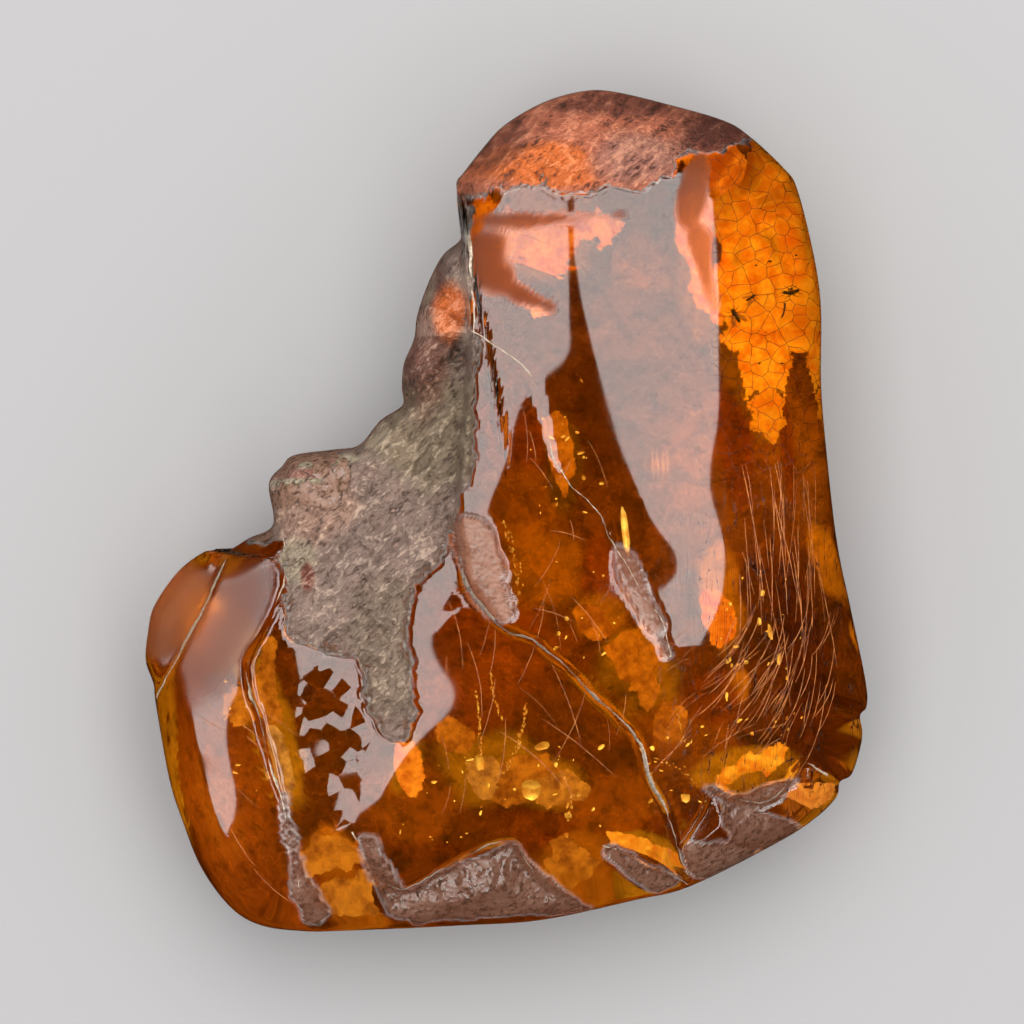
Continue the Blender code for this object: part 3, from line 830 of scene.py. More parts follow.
@dataclass(frozen=True)
class AmberFinish:
    """Clear amber with crust, frost, crazing and fine scratches, all read from the mesh."""

    ior: float = 1.54
    # How much red, green and blue light the amber takes out in each metre
    absorbs: Colour = (5.0, 30.0, 110.0)
    crack: Colour = (0.05, 0.010, 0.002)

    def mosaic(self, t: Tree, size: float, low: float, high: float) -> Any:
        """Shades from low to high, one for each of many warped cells of about size millimetres."""
        wobble = t.node(
            "ShaderNodeTexNoise", {"Vector": t.place, "Scale": 0.9 / (size * MM), "Detail": 1.0}, "Color"
        )
        moved = t.node(
            "ShaderNodeVectorMath", {0: wobble, 1: (1.1 * size * MM,) * 3, 2: t.place}, operation="MULTIPLY_ADD"
        )
        cell = t.node(
            "ShaderNodeTexVoronoi", {"Vector": moved, "Scale": 1 / (size * MM)}, "Color", voronoi_dimensions="2D"
        )
        return t.ramp(cell, [(0.1, low), (0.9, high)])

    def facets(self, t: Tree, size: float, tilt: float) -> Any:
        """Height of flat cells, each tilted its own way: its offset times a random direction."""
        cell = {"Vector": t.place, "Scale": 1 / (size * MM)}
        centre = t.node("ShaderNodeTexVoronoi", cell, "Position", voronoi_dimensions="2D")
        colour = centre.node.outputs["Color"]
        offset = t.node("ShaderNodeVectorMath", {0: t.place, 1: centre}, operation="SUBTRACT")
        lean = t.node("ShaderNodeVectorMath", {0: colour, 1: (0.5, 0.5, 0.5)}, operation="SUBTRACT")
        lean = t.node("ShaderNodeVectorMath", {0: lean, 1: (1.0, 1.0, 0.0)}, operation="MULTIPLY")
        height = t.node("ShaderNodeVectorMath", {0: offset, 1: lean}, "Value", operation="DOT_PRODUCT")
        return t.maths("MULTIPLY", height, 2 * tilt)

    def make(self) -> bpy.types.Material:
        """Builds the material."""
        t = Tree("amber_clear")
        skin, inner, crust = t.reading("skin", "Color"), t.reading("inner"), t.reading("crust")
        craze, scratch, facet = t.reading("craze"), t.reading("scratch"), t.reading("facet")
        # The rind behind the amber: cells, clouds and thin bright veins that show through it
        cells = self.mosaic(t, 2.6, 0.55, 1.0)
        clouds = t.ramp(t.noise(1.5, 3.0, Roughness=0.62), [(0.34, 0.35), (0.50, 0.85), (0.62, 1.0)])
        veins = t.ramp(t.noise(3.2, 3.0, Roughness=0.6), [(0.488, 0.0), (0.5, 1.0), (0.512, 0.0)])
        shade = t.maths("MULTIPLY", t.maths("MULTIPLY", cells, clouds), 1.35)
        shade = t.maths("ADD", shade, t.maths("MULTIPLY", veins, 0.6))
        # Bright rind keeps most of its brightness
        level = t.node("ShaderNodeSeparateColor", {"Color": skin}, "Red")
        steady = t.maths("MULTIPLY", t.maths("POWER", level, 1.5), 0.8)
        shade = t.maths("ADD", t.maths("MULTIPLY", shade, t.maths("SUBTRACT", 1.0, steady)), steady)
        rind = t.mix(1.0, skin, shade, "MULTIPLY")
        base = t.mix(inner, skin, rind)
        grain = t.noise(0.45, 3.0, (1.6, 1.0, 1.0), 35.0, Roughness=0.7)
        mottled = t.ramp(grain, [(0.36, 0.35), (0.50, 0.9), (0.66, 1.0)])
        base = t.mix(crust, base, t.mix(1.0, base, mottled, "MULTIPLY"))
        # Crazing and hairlines in the polished skin
        lines = t.maths("MULTIPLY", t.cracks(1.35, 0.028), craze)
        hair = t.noise(1.1, 0.0, (0.3, 5.0, 2.0))
        hairs = t.maths("MULTIPLY", t.ramp(hair, [(0.485, 0.0), (0.50, 1.0), (0.515, 0.0)]), scratch)
        marks = t.maths("MAXIMUM", lines, t.maths("MULTIPLY", hairs, 0.35))
        # The base darkens sooner than the amber clouds, or half-clouded borders would turn pale
        base = t.mix(t.maths("MULTIPLY", marks, 6.0, clamp=True), base, self.crack)
        clear = t.maths("MULTIPLY", t.reading("clear"), t.maths("SUBTRACT", 1.0, t.maths("MULTIPLY", marks, 0.6)))
        # Glints on what is dull
        glint = t.ramp(grain, [(0.42, 0.6), (0.56, 0.0)])
        rough = t.maths("MULTIPLY", t.reading("rough"), t.maths("SUBTRACT", 1.0, t.maths("MULTIPLY", glint, crust)))
        tilted = t.bump(self.facets(t, 1.3, 0.07), 1000.0, facet)
        coarse = t.bump(t.noise(0.7, 1.0, Roughness=0.7), 0.22, t.maths("MAXIMUM", crust, inner), tilted)
        t.set(
            Base_Color=base,
            Roughness=rough,
            Transmission_Weight=clear,
            IOR=self.ior,
            Normal=coarse,
        )
        density = max(self.absorbs) * 1.1
        absorption = t.node(
            "ShaderNodeVolumeAbsorption",
            {"Color": (*[1 - a / density for a in self.absorbs], 1.0), "Density": density},
        )
        t.links.new(absorption, t.output.inputs["Volume"])
        return t.material


@dataclass(frozen=True)
class CrustFinish:
    """Weathered skin: its tint from the mesh, with painted shade in its pits and a painted highlight on its crests."""

    name: str
    pit_shade: Colour
    crest_highlight: Colour
    crest_highlight_gain: Colour = (1.9, 1.8, 1.7)
    # Size of its flecks along and across the rising diagonal, in millimetres
    fleck: Place = (1.0, 0.36)

    def make(self) -> bpy.types.Material:
        """Builds the material: flecks drawn out along the rising diagonal over broad relief."""
        t = Tree(self.name)
        relief = t.reading("relief")
        stretch = (self.fleck[0] / self.fleck[1], 1.0, 1.0)
        fleck = t.noise(self.fleck[1], 3.0, stretch, 38.0, Roughness=0.55, Distortion=0.9)
        grain = t.noise(0.22, 5.0, Roughness=0.7)
        height = t.maths("ADD", t.maths("MULTIPLY", t.maths("SUBTRACT", relief, 0.5), 0.55), fleck)
        height = t.maths("ADD", height, t.maths("MULTIPLY", t.maths("SUBTRACT", grain, 0.5), 0.35))
        broad = t.ramp(t.noise(1.9, 7.0, Roughness=0.65), [(0.35, 0.6), (0.65, 1.0)])
        tint = t.mix(0.8, t.reading("tint", "Color"), broad, "MULTIPLY")
        # Painted shade in the pits and a painted highlight on the crests, both set by height
        base = t.mix(t.ramp(height, [(0.26, 0.95), (0.44, 0.0)]), tint, self.pit_shade)
        painted_crest_highlight = t.mix(0.4, t.mix(1.0, tint, self.crest_highlight_gain, "MULTIPLY"), self.crest_highlight)
        base = t.mix(t.ramp(height, [(0.57, 0.0), (0.72, 0.95)]), base, painted_crest_highlight)
        t.set(
            Base_Color=base,
            Roughness=t.ramp(grain, [(0.50, 0.55), (0.62, 0.22)]),
            Normal=t.bump(height, 0.35, 1.0),
        )
        return t.material


@dataclass(frozen=True)
class FilmFinish:
    """A thin gap inside the amber that throws light back as gold."""

    name: str
    bright: Colour
    dull: Colour
    roughness: float = 0.28
    metallic: float = 0.75

    def make(self) -> bpy.types.Material:
        """Builds the material."""
        t = Tree(self.name)
        wear = t.noise(1.2, 6.0, Roughness=0.65)
        t.set(
            Base_Color=t.ramp(wear, [(0.35, self.dull), (0.6, self.bright)]),
            Roughness=t.ramp(wear, [(0.3, self.roughness + 0.2), (0.7, self.roughness)]),
            Metallic=self.metallic,
            Normal=t.bump(t.noise(0.5, 5.0), 0.06),
        )
        return t.material


@dataclass(frozen=True)
class BodyFinish:
    """Dark horn-like skin of an insect or a scrap of bark."""

    name: str
    dark: Colour
    light: Colour
    size: float = 0.12
    roughness: float = 0.4
    transmission: float = 0.0

    def make(self) -> bpy.types.Material:
        """Builds the material."""
        t = Tree(self.name)
        spots = t.noise(self.size, 6.0, Roughness=0.6)
        t.set(
            Base_Color=t.ramp(spots, [(0.38, self.dark), (0.66, self.light)]),
            Roughness=t.ramp(spots, [(0.3, self.roughness), (0.7, self.roughness + 0.2)]),
            Transmission_Weight=self.transmission,
            Normal=t.bump(spots, 0.01),
        )
        return t.material


# The amber


class Tone(Enum):
    """Colours as the screen shows them: those seen in the amber, then those of its crust."""

    DARK = (92, 30, 10)
    BROWN = (118, 44, 12)
    RED = (156, 50, 14)
    RUST = (178, 74, 16)
    OLIVE = (122, 72, 22)
    ORANGE = (222, 100, 12)
    # Painted glow: the look of light shining through the amber from behind, laid on the rind as colour
    PAINTED_FLAME_LIGHT = (250, 122, 16)
    PAINTED_GLOW = (250, 150, 10)
    OCHRE = (214, 126, 16)
    GOLD = (236, 170, 30)
    MAUVE = (162, 134, 120)
    GREY = (152, 130, 104)
    ROSE = (182, 124, 106)
    TAN = (194, 152, 130)
    CREAM = (196, 180, 150)
    # Painted glow: light from inside the amber shining through the thin crust
    PAINTED_SKIN_LIGHT = (250, 120, 20)
    SKIN = (222, 122, 84)
    RUSSET = (136, 66, 44)


@dataclass(frozen=True)
class Patch:
    """A soft-edged oval of one tone, where the camera sees it."""

    x: float
    y: float
    wide: float
    high: float
    tone: Tone
    turn: float = 0.0
    strength: float = 1.0
    ragged: float = 0.35
    soft: float = 0.6

    def share(self, x: Array, y: Array, seed: int) -> Array:
        """How much of the tone each place takes: 1 inside the oval, eased to 0 round its border."""
        angle = math.radians(self.turn)
        dx, dy = x - self.x, y - self.y
        along = (dx * math.cos(angle) + dy * math.sin(angle)) / self.wide
        across = (dy * math.cos(angle) - dx * math.sin(angle)) / self.high
        reach = np.hypot(along, across) + self.ragged * fractal(x, y, 4.0, 5, seed)
        return self.strength * (1 - ease((reach - 1 + self.soft / 2) / self.soft))


def painted(x: Array, y: Array, ground: Tone, patches: Sequence[Patch], seed: int) -> Array:
    """Light colour at each place: the patches, one over another, on the ground tone."""
    seen = np.tile(linear(ground.value), (len(x), 1))
    for number, patch in enumerate(patches):
        share = patch.share(x, y, seed + number)[:, None]
        seen = seen * (1 - share) + linear(patch.tone.value) * share
    return seen


@dataclass
class Amber:
    """The clear piece: face, back and the finish of each vertex."""

    face: Face
    sight: Sight
    finish: AmberFinish
    patches: tuple[Patch, ...]
    faceted: tuple[Patch, ...]
    worn: tuple[Patch, ...]
    ground_tone: Tone = Tone.BROWN
    cells: int = 216
    centre: Place = (3.0, -8.0)
    back_rounding: float = 15.0
    ground_depth: float = 1.2
    back_lump_height: float = 0.3
    back_lump_length: float = 11.0
    # Brightness of a white matte surface in this light
    light: float = 2.4
    # Share of light that leaves a matte surface under clear amber, and that is thrown back to it
    leaves: float = 0.38
    returns: float = 0.6

    def disc(self) -> tuple[Array, Array]:
        """A square grid drawn out to a disc, then to the outline, with finer steps at its rim.

        Each square ring of the grid becomes a ring at the same share of the way from the centre
        to the outline.
        """
        side = np.linspace(-1, 1, self.cells + 1)
        u, v = np.meshgrid(side, side)
        wide = np.abs(u) > np.abs(v)
        reach = np.where(wide, u, v)
        ratio = np.where(wide, v, u) / np.where(reach == 0, 1, reach)
        angle = np.where(wide, ratio, 2 - ratio) * math.pi / 4 + np.where(reach < 0, math.pi, 0)
        share = np.abs(reach)
        share = 1.25 * share - 0.25 * share**5
        line = self.face.outline.points - self.face.middle
        bearing = np.arctan2(line[:, 1] - self.centre[1], line[:, 0] - self.centre[0]) % (2 * math.pi)
        radius = np.hypot(line[:, 0] - self.centre[0], line[:, 1] - self.centre[1])
        order = np.argsort(bearing)
        out = share * np.interp(angle % (2 * math.pi), bearing[order], radius[order], period=2 * math.pi)
        return (self.centre[0] + out * np.cos(angle)).ravel(), (self.centre[1] + out * np.sin(angle)).ravel()

    def back_heights(self, x: Array, y: Array) -> Array:
        """Height of the back: rounded in from the outline, pitted, then ground flat at zero."""
        depth = self.face.depth(x, y)
        drop = (PARTING_Z + self.ground_depth) * margin(depth, self.back_rounding)
        drop = drop + self.back_lump_height * lumps(x, y, self.back_lump_length)
        pits = 0.12 * fractal(x, y, 2.2, 4, 200)
        return np.maximum(PARTING_Z - (drop + pits) * (1 - np.exp(-np.maximum(depth, 0))), 0.0)

    def rind(self, x: Array, y: Array, thickness: Array, level: Array) -> Array:
        """Colour of the rind behind the amber that shows the camera the wanted tones, with the glow of light shining
        through painted in where the patches ask for it.

        Light passes the amber down and up. What the rind reflects leaves at the face in part, and
        is thrown back in part, so a half-bright rind looks darker than half. The blue follows the
        green and red, because no blue comes back through amber.

        Args:
            x, y: places as the camera sees them.
            thickness: of the amber there.
            level: upward share of the back's normal there.

        Returns:
            One colour for each place.
        """
        wanted = painted(x, y, self.ground_tone, self.patches, 300)
        cloud = 1.0 + 0.30 * fractal(x, y, 6.0, 5, 350)
        wanted = wanted * np.clip(cloud, 0.4, 1.5)[:, None] / self.light
        passed = np.exp(-2.1 * MM * np.outer(thickness, self.finish.absorbs))
        rind = wanted / (self.leaves * level[:, None] * passed + self.returns * wanted)
        rind = np.clip(rind, 0.015, 0.94)
        rind[:, 1] = np.clip(rind[:, 1], 0.42 * rind[:, 0], 0.96 * rind[:, 0])
        rind[:, 2] = 0.42 * rind[:, 1]
        return rind

    def build(self) -> bpy.types.Object:
        """Makes the mesh, stores each vertex's finish on it and dresses it."""
        x, y = self.disc()
        n = self.cells + 1
        survey = self.face.survey(x, y)
        front_z, back_z = np.maximum(survey.height, PARTING_Z), self.back_heights(x, y)
        edge = np.zeros((n, n), bool)
        edge[0] = edge[-1] = edge[:, 0] = edge[:, -1] = True
        edge = edge.ravel()
        front_z[edge] = PARTING_Z
        inner = np.flatnonzero(~edge)
        back_ids = np.arange(n * n)
        back_ids[inner] = n * n + np.arange(len(inner))
        quads = grid_faces(n, n)
        faces = np.vstack([quads, back_ids[quads][:, ::-1]])
        points = np.vstack(
            [np.stack([x, y, front_z], 1), np.stack([x[inner], y[inner], back_z[inner]], 1)]
        )
        self.finish_values = self.dress_values(x, y, survey, back_z, inner)
        made = make_object("amber_lump", points, faces.tolist(), self.finish.make(), smooth=True)
        self.store(made.data)
        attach(made, BODY)
        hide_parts("amber_front", "amber_back")
        LOG.info("amber_lump: %d faces", len(faces))
        return made

    def dress_values(self, x: Array, y: Array, survey: Survey, back_z: Array, inner: Array) -> dict[str, Array]:
        """Finish of each vertex, front first, then back."""
        clear_skin = np.tile([1.0, 0.97, 0.93], (len(x), 1))
        # The base darkens sooner than the amber clouds, or half-clouded borders would turn pale
        frost, crust = ease(4 * survey.frost)[:, None], ease(4 * survey.crust)[:, None]
        frosted = np.outer(1 + survey.pale, [0.17, 0.078, 0.046])
        skin = clear_skin * (1 - frost) + frosted * frost
        skin = skin * (1 - crust) + linear((124, 92, 74)) * crust
        solid = np.clip(survey.crust * 0.95 + survey.frost, 0, 1)
        hazy = np.maximum.reduce([p.share(x, y, 540 + i) for i, p in enumerate(self.worn)]) * (1 - crust[:, 0])
        rough = 0.035 + 0.55 * survey.crust + 0.60 * survey.frost + 0.85 * hazy
        craze = ease((x - 17.0) / 4.0) * ease((y - 2.0) / 9.0) * (1 - survey.crust)
        scratch = ease((x - 12.0) / 8.0) * ease((4.0 - y) / 8.0) * (1 - survey.crust)
        facet = np.maximum.reduce([p.share(x, y, 500) for p in self.faceted]) * (1 - survey.crust)
        bx, by, bz = x[inner], y[inner], back_z[inner]
        seen_x, seen_y = self.sight.seen(bx, by, bz)
        thickness = np.maximum(survey.height[inner] - bz, 1.0)
        step = 0.3
        rise_x = (self.back_heights(bx + step, by) - self.back_heights(bx - step, by)) / (2 * step)
        rise_y = (self.back_heights(bx, by + step) - self.back_heights(bx, by - step)) / (2 * step)
        level = np.maximum(1 / np.sqrt(1 + rise_x**2 + rise_y**2), 0.35)
        # The rind thins out to clear amber towards the rim
        depth = self.face.depth(bx, by) + 1.2 * fractal(bx, by, 3.0, 4, 410)
        covered = ease((depth - 0.1) / 1.2)
        # Weathered ground runs on past the widest line, down the side of the back
        weathered = (ease(0.5 + self.face.grounds_at(bx, by)[1] / 2) * ease(1.3 - depth / 4.0))[:, None]
        tone = np.where((by > 25)[:, None], linear(Tone.SKIN.value), linear(Tone.MAUVE.value)) / 1.85
        rind = self.rind(seen_x, seen_y, thickness, level) * (1 - weathered) + tone * weathered
        covered = np.maximum(covered, weathered[:, 0])
        empty = np.zeros(len(inner))
        return {
            "skin": np.vstack([skin, rind]),
            "clear": np.concatenate([1 - solid, 1 - 0.25 * (1 - covered) - 0.97 * covered]),
            "rough": np.concatenate([rough, 0.12 + 0.5 * covered]),
            "crust": np.concatenate([np.maximum(survey.crust, ease(2 * survey.frost) * (0.9 - 0.6 * np.clip(survey.pale, 0, 1))), empty]),
            "craze": np.concatenate([craze, empty]),
            "scratch": np.concatenate([scratch, empty]),
            "facet": np.concatenate([facet, empty]),
            "inner": np.concatenate([np.zeros(len(x)), covered]),
        }

    def store(self, mesh: bpy.types.Mesh) -> None:
        """Stores the finish on the mesh's vertices."""
        for name, values in self.finish_values.items():
            if values.ndim == 2:
                layer = mesh.attributes.new(name, "FLOAT_COLOR", "POINT")
                layer.data.foreach_set("color", np.column_stack([values, np.ones(len(values))]).ravel())
            else:
                layer = mesh.attributes.new(name, "FLOAT", "POINT")
                layer.data.foreach_set("value", values)


@dataclass
class Crust:
    """Weathered skin over part of the face: a fine grid that dips into the amber at its border."""

    name: str
    face: Face
    finish: CrustFinish
    low: Place
    high: Place
    ground_tone: Tone
    patches: tuple[Patch, ...]
    spacing: float = 0.14
    overlap: float = 0.45
    # Brightness of a white matte surface in this light
    light: float = 1.85

    def build(self) -> bpy.types.Object:
        """Makes the piece, without the squares that lie wholly outside its ground."""
        columns = np.arange(self.low[0], self.high[0], self.spacing)
        rows = np.arange(self.low[1], self.high[1], self.spacing)
        x, y = (v.ravel() for v in np.meshgrid(columns, rows))
        kept = (self.face.grounds_at(x, y)[1] > -self.overlap) & (self.face.depth(x, y) > 0.12)
        quads = grid_faces(len(rows), len(columns))
        quads = quads[kept[quads].all(1)]
        used, quads = np.unique(quads, return_inverse=True)
        x, y = x[used], y[used]
        survey = self.face.survey(x, y, crusted=True)
        points = np.stack([x, y, np.maximum(survey.height, PARTING_Z + 0.1)], 1)
        made = make_object(self.name, points, quads.reshape(-1, 4).tolist(), self.finish.make(), smooth=True)
        tint = painted(x, y, self.ground_tone, self.patches, 600) / self.light
        layer = made.data.attributes.new("tint", "FLOAT_COLOR", "POINT")
        layer.data.foreach_set("color", np.column_stack([tint, np.ones(len(x))]).ravel())
        layer = made.data.attributes.new("relief", "FLOAT", "POINT")
        level = (survey.relief - fractal(x, y, 4.0, 1, 640) * 0.1 - survey.relief.mean()) / survey.relief.std()
        layer.data.foreach_set("value", 0.5 + 0.17 * level)
        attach(made, BODY)
        LOG.info("%s: %d faces", self.name, len(made.data.polygons))
        return made


@dataclass(frozen=True)
class Rim:
    """A crushed edge, pale partly as a painted highlight: its line, its full width, and how often it breaks off, from 0
    to 1.
    """

    line: Line
    width: float
    broken: float = 0.3
    shift: float = 0.0


@dataclass
class CrushedEdges:
    """Pale crumbled lines where flakes broke off, as ragged ribbons on the face: pale crushed amber, and partly a
    painted highlight of the lit break edges.
    """

    name: str
    face: Face
    finish: BodyFinish
    rims: tuple[Rim, ...]
    step: float = 0.09
    rows: int = 7
    height: float = 0.09

    def build(self) -> bpy.types.Object:
        """Makes the piece: each ribbon is a low ridge whose width and middle wander by noise."""
        heap = Heap()
        for number, rim in enumerate(self.rims):
            line = rim.line.points
            along = np.concatenate([[0], np.cumsum(np.linalg.norm(np.diff(line, axis=0), axis=1))])
            t = np.arange(0.0, along[-1], self.step)
            px, py = np.interp(t, along, line[:, 0]), np.interp(t, along, line[:, 1])
            run = np.stack([np.gradient(px), np.gradient(py)], 1)
            run /= np.linalg.norm(run, axis=1, keepdims=True)
            seed = 700 + 10 * number
            wander = rim.shift + 0.22 * fractal(t, 0 * t, 1.6, 4, seed)
            thick = fractal(t, 0 * t + 5.0, 2.6, 5, seed + 5) + 0.75 - rim.broken
            half = rim.width * np.clip(thick, 0.02, 1.2) / 2
            across = np.linspace(-1, 1, self.rows)
            out = wander[:, None] + half[:, None] * across
            x = (px[:, None] - run[:, 1:] * out).ravel()
            y = (py[:, None] + run[:, :1] * out).ravel()
            crumbs = (1 - across**2) * np.minimum(half[:, None] / 0.1, 1) * self.height
            crumbs = crumbs * (0.7 + 0.6 * fractal(x, y, 0.35, 2, seed + 8).reshape(out.shape))
            survey = self.face.survey(x, y)
            z = survey.height - 0.01 + crumbs.ravel()
            kept = (self.face.depth(x, y) > 0.2) & (survey.crust < 0.6)
            kept = kept & np.repeat(half > 0.02 * rim.width, self.rows)
            quads = grid_faces(len(t), self.rows)
            quads = quads[kept[quads].all(1)][:, ::-1]
            used, quads = np.unique(quads, return_inverse=True)
            heap.add(np.stack([x, y, z], 1)[used], quads.reshape(-1, 4))
        return heap.make(self.name, self.finish.make(), "amber")


# What lies inside the amber


@dataclass(frozen=True)
class Flake:
    """A thin curved gap inside the amber: where it is seen, and how deep under the face."""

    x: float
    y: float
    deep: float
    wide: float
    high: float
    turn: float = 0.0
    tip: float = 20.0
    dish: float = 0.2


@dataclass(frozen=True)
class Glints:
    """An oval of small gaps: its middle and half widths as seen, their count and size."""

    middle: Place
    reach: Place
    count: int
    size: float

    def flakes(self, draw: np.random.Generator) -> list[Flake]:
        """Flakes scattered at random over the oval, each turned and tipped its own way."""
        made = []
        for _ in range(self.count):
            x, y = np.array(self.middle) + np.array(self.reach) * draw.uniform(-0.8, 0.8, 2)
            wide = self.size * (0.35 + draw.random() ** 2)
            flat, deep, turn, tip = draw.random(4)
            made.append(Flake(x, y, 1.6 + 2 * deep, wide, wide * (0.25 + 0.6 * flat), 180 * turn, 30 * tip))
        return made


@dataclass
class Flakes:
    """Thin gaps that glitter inside the amber."""

    name: str
    finish: FilmFinish
    sight: Sight
    flakes: tuple[Flake, ...]
    glints: tuple[Glints, ...]
    rings: int = 6
    segments: int = 28
    ragged: float = 0.4
    seed: int = 8

    def surface(self, flake: Flake, seed: int) -> tuple[Array, Array]:
        """A dished disc with a ragged border: rings of points about its middle."""
        turn = np.linspace(0, 2 * math.pi, self.segments, endpoint=False)
        share, around = np.meshgrid(np.linspace(0.02, 1, self.rings), turn, indexing="ij")
        wander = fractal(np.cos(around) + seed * 7.0, np.sin(around), 1.1, 4, seed)
        reach = share * (1 + self.ragged * wander * share)
        u, v = flake.wide * reach * np.cos(around), flake.high * reach * np.sin(around)
        w = flake.dish * share**2 * min(flake.wide, flake.high)
        w = w + 0.10 * min(flake.wide, flake.high) * fractal(u, v, 0.8, 3, seed + 50)
        tip, spin = math.radians(flake.tip), math.radians(flake.turn)
        v, w = v * math.cos(tip) - w * math.sin(tip), v * math.sin(tip) + w * math.cos(tip)
        u, v = u * math.cos(spin) - v * math.sin(spin), u * math.sin(spin) + v * math.cos(spin)
        centre = self.sight.under(flake.x, flake.y, flake.deep)
        points = centre + np.stack([u, v, w], -1).reshape(-1, 3)
        return points, grid_faces(self.rings, self.segments, round_columns=True)

    def build(self) -> bpy.types.Object:
        """Makes the piece."""
        heap = Heap()
        draw = np.random.default_rng(self.seed)
        scattered = [flake for glints in self.glints for flake in glints.flakes(draw)]
        for number, flake in enumerate([*self.flakes, *scattered]):
            heap.add(*self.surface(flake, number + 1))
        return heap.make(self.name, self.finish.make(), "amber")


@dataclass(frozen=True)
class Sheet:
    """A broken inner surface that throws light back: its border as seen, and its height."""

    places: tuple[Place, ...]
    height: float
    ragged: float = 0.9
    # True where the border is given as it lies in the amber
    lying: bool = False


@dataclass
class Sheets:
    """Inner break surfaces with crumbled borders, one finish for all of a piece."""

    name: str
    finish: FilmFinish
    sight: Sight
    sheets: tuple[Sheet, ...]
    spacing: float = 0.13
    swell: float = 0.5

    def build(self) -> bpy.types.Object:
        """Makes the piece: grids laid under what is seen, cut along their noisy borders."""
        heap = Heap()
        for number, sheet in enumerate(self.sheets):
            border = Line(sheet.places, closed=True)
            low, high = border.points.min(0) - 0.8, border.points.max(0) + 0.8
            columns, rows = (np.arange(low[k], high[k], self.spacing) for k in (0, 1))
            x, y = (v.ravel() for v in np.meshgrid(columns, rows))
            depth = border.depth(x, y) + sheet.ragged * fractal(x, y, 1.8, 5, 800 + 7 * number)
            # Corners next to the border move onto it, or it would show as a stair
            slope_y, slope_x = (g.ravel() for g in np.gradient(depth.reshape(len(rows), -1), self.spacing))
            pull = np.clip(depth / np.maximum(slope_x**2 + slope_y**2, 0.5), 0, 0.8 * self.spacing)
            pull = pull * (depth < 0.8 * self.spacing)
            x, y = x - pull * slope_x, y - pull * slope_y
            z = sheet.height + self.swell * fractal(x, y, 5.0, 4, 900 + 7 * number)
            inner_x, inner_y = (x, y) if sheet.lying else self.sight.below(x, y, z)
            kept = (depth > 0) & (self.sight.face.depth(inner_x, inner_y) > 1.6)
            quads = grid_faces(len(rows), len(columns))
            quads = quads[kept[quads].all(1)]
            used, quads = np.unique(quads, return_inverse=True)
            heap.add(np.stack([inner_x, inner_y, z], 1)[used], quads.reshape(-1, 4))
        return heap.make(self.name, self.finish.make(), "amber")


@dataclass(frozen=True)
class Train:
    """A row of bubbles from one seen place to another, with its bend, count and sizes."""

    start: Place
    end: Place
    bend: float
    count: int
    small: float
    large: float
    scatter: float = 0.08


@dataclass
class Bubbles:
    """Trains of small bubbles."""

    name: str
    sight: Sight
    finish: FilmFinish
    trains: tuple[Train, ...]
    deep: float = 2.0
    seed: int = 21

    def build(self) -> bpy.types.Object:
        """Makes the piece: balls along each train, scattered and sized at random."""
        draw = np.random.default_rng(self.seed)
        heap = Heap()
        for train in self.trains:
            start, end = np.array(train.start), np.array(train.end)
            run = (end - start) / np.linalg.norm(end - start)
            across = np.array([-(end - start)[1], (end - start)[0]])
            for t in (np.arange(train.count) + 0.5) / train.count:
                place = start + (end - start) * t + across * train.bend * math.sin(math.pi * t)
                place = place + draw.normal(0, train.scatter, 2)
                radius = train.small + (train.large - train.small) * draw.random() ** 2
                long = radius * (1 + 1.6 * draw.random())
                centre = self.sight.under(*place, self.deep + draw.normal(0, 0.3))
                axes = np.array(
                    [[run[0] * long, run[1] * long, 0], [-run[1] * radius, run[0] * radius, 0], [0, 0, radius]]
                )
                heap.add(*ball(centre, axes, 8, 12))
        return heap.make(self.name, self.finish.make(), "amber")


@dataclass
class Debris:
    """Specks and a thin rod of bark near the flies."""

    sight: Sight
    finish: BodyFinish
    rod: tuple[Place, Place] = ((24.9, 18.6), (24.6, 17.3))
    rod_radius: float = 0.06
    rod_depth: float = 20.0
    specks: tuple[tuple[float, float, float], ...] = ()
    depth: float = 14.0

    def build(self) -> bpy.types.Object:
        """Makes the piece: small uneven balls and one short tube."""
        heap = Heap()
        ends = [self.sight.below(np.array([x]), np.array([y]), self.rod_depth) for x, y in self.rod]
        steps = np.linspace(0, 1, 8)[:, None]
        first, last = (np.array([x[0], y[0], self.rod_depth]) for x, y in ends)
        path = first + (last - first) * steps + np.array([0.08, 0, 0.1]) * np.sin(3 * steps)
        heap.add(*tube(path, self.rod_radius * (1 - 0.4 * steps[:, 0])))
        for number, (px, py, size) in enumerate(self.specks):
            x, y = self.sight.below(np.array([px]), np.array([py]), self.depth)
            axes = size * np.array([[1.0, 0.4, 0.0], [-0.3, 0.6, 0.1], [0.0, 0.1, 0.5]])
            points, faces = ball(np.array([x[0], y[0], self.depth]), axes, 8, 12)
            points = points + 0.25 * size * fractal(points[:, 0] * 9, points[:, 1] * 9, 2.0, 2, number)[:, None]
            heap.add(points, faces)
        return heap.make("bark_specks", self.finish.make(), "insect")


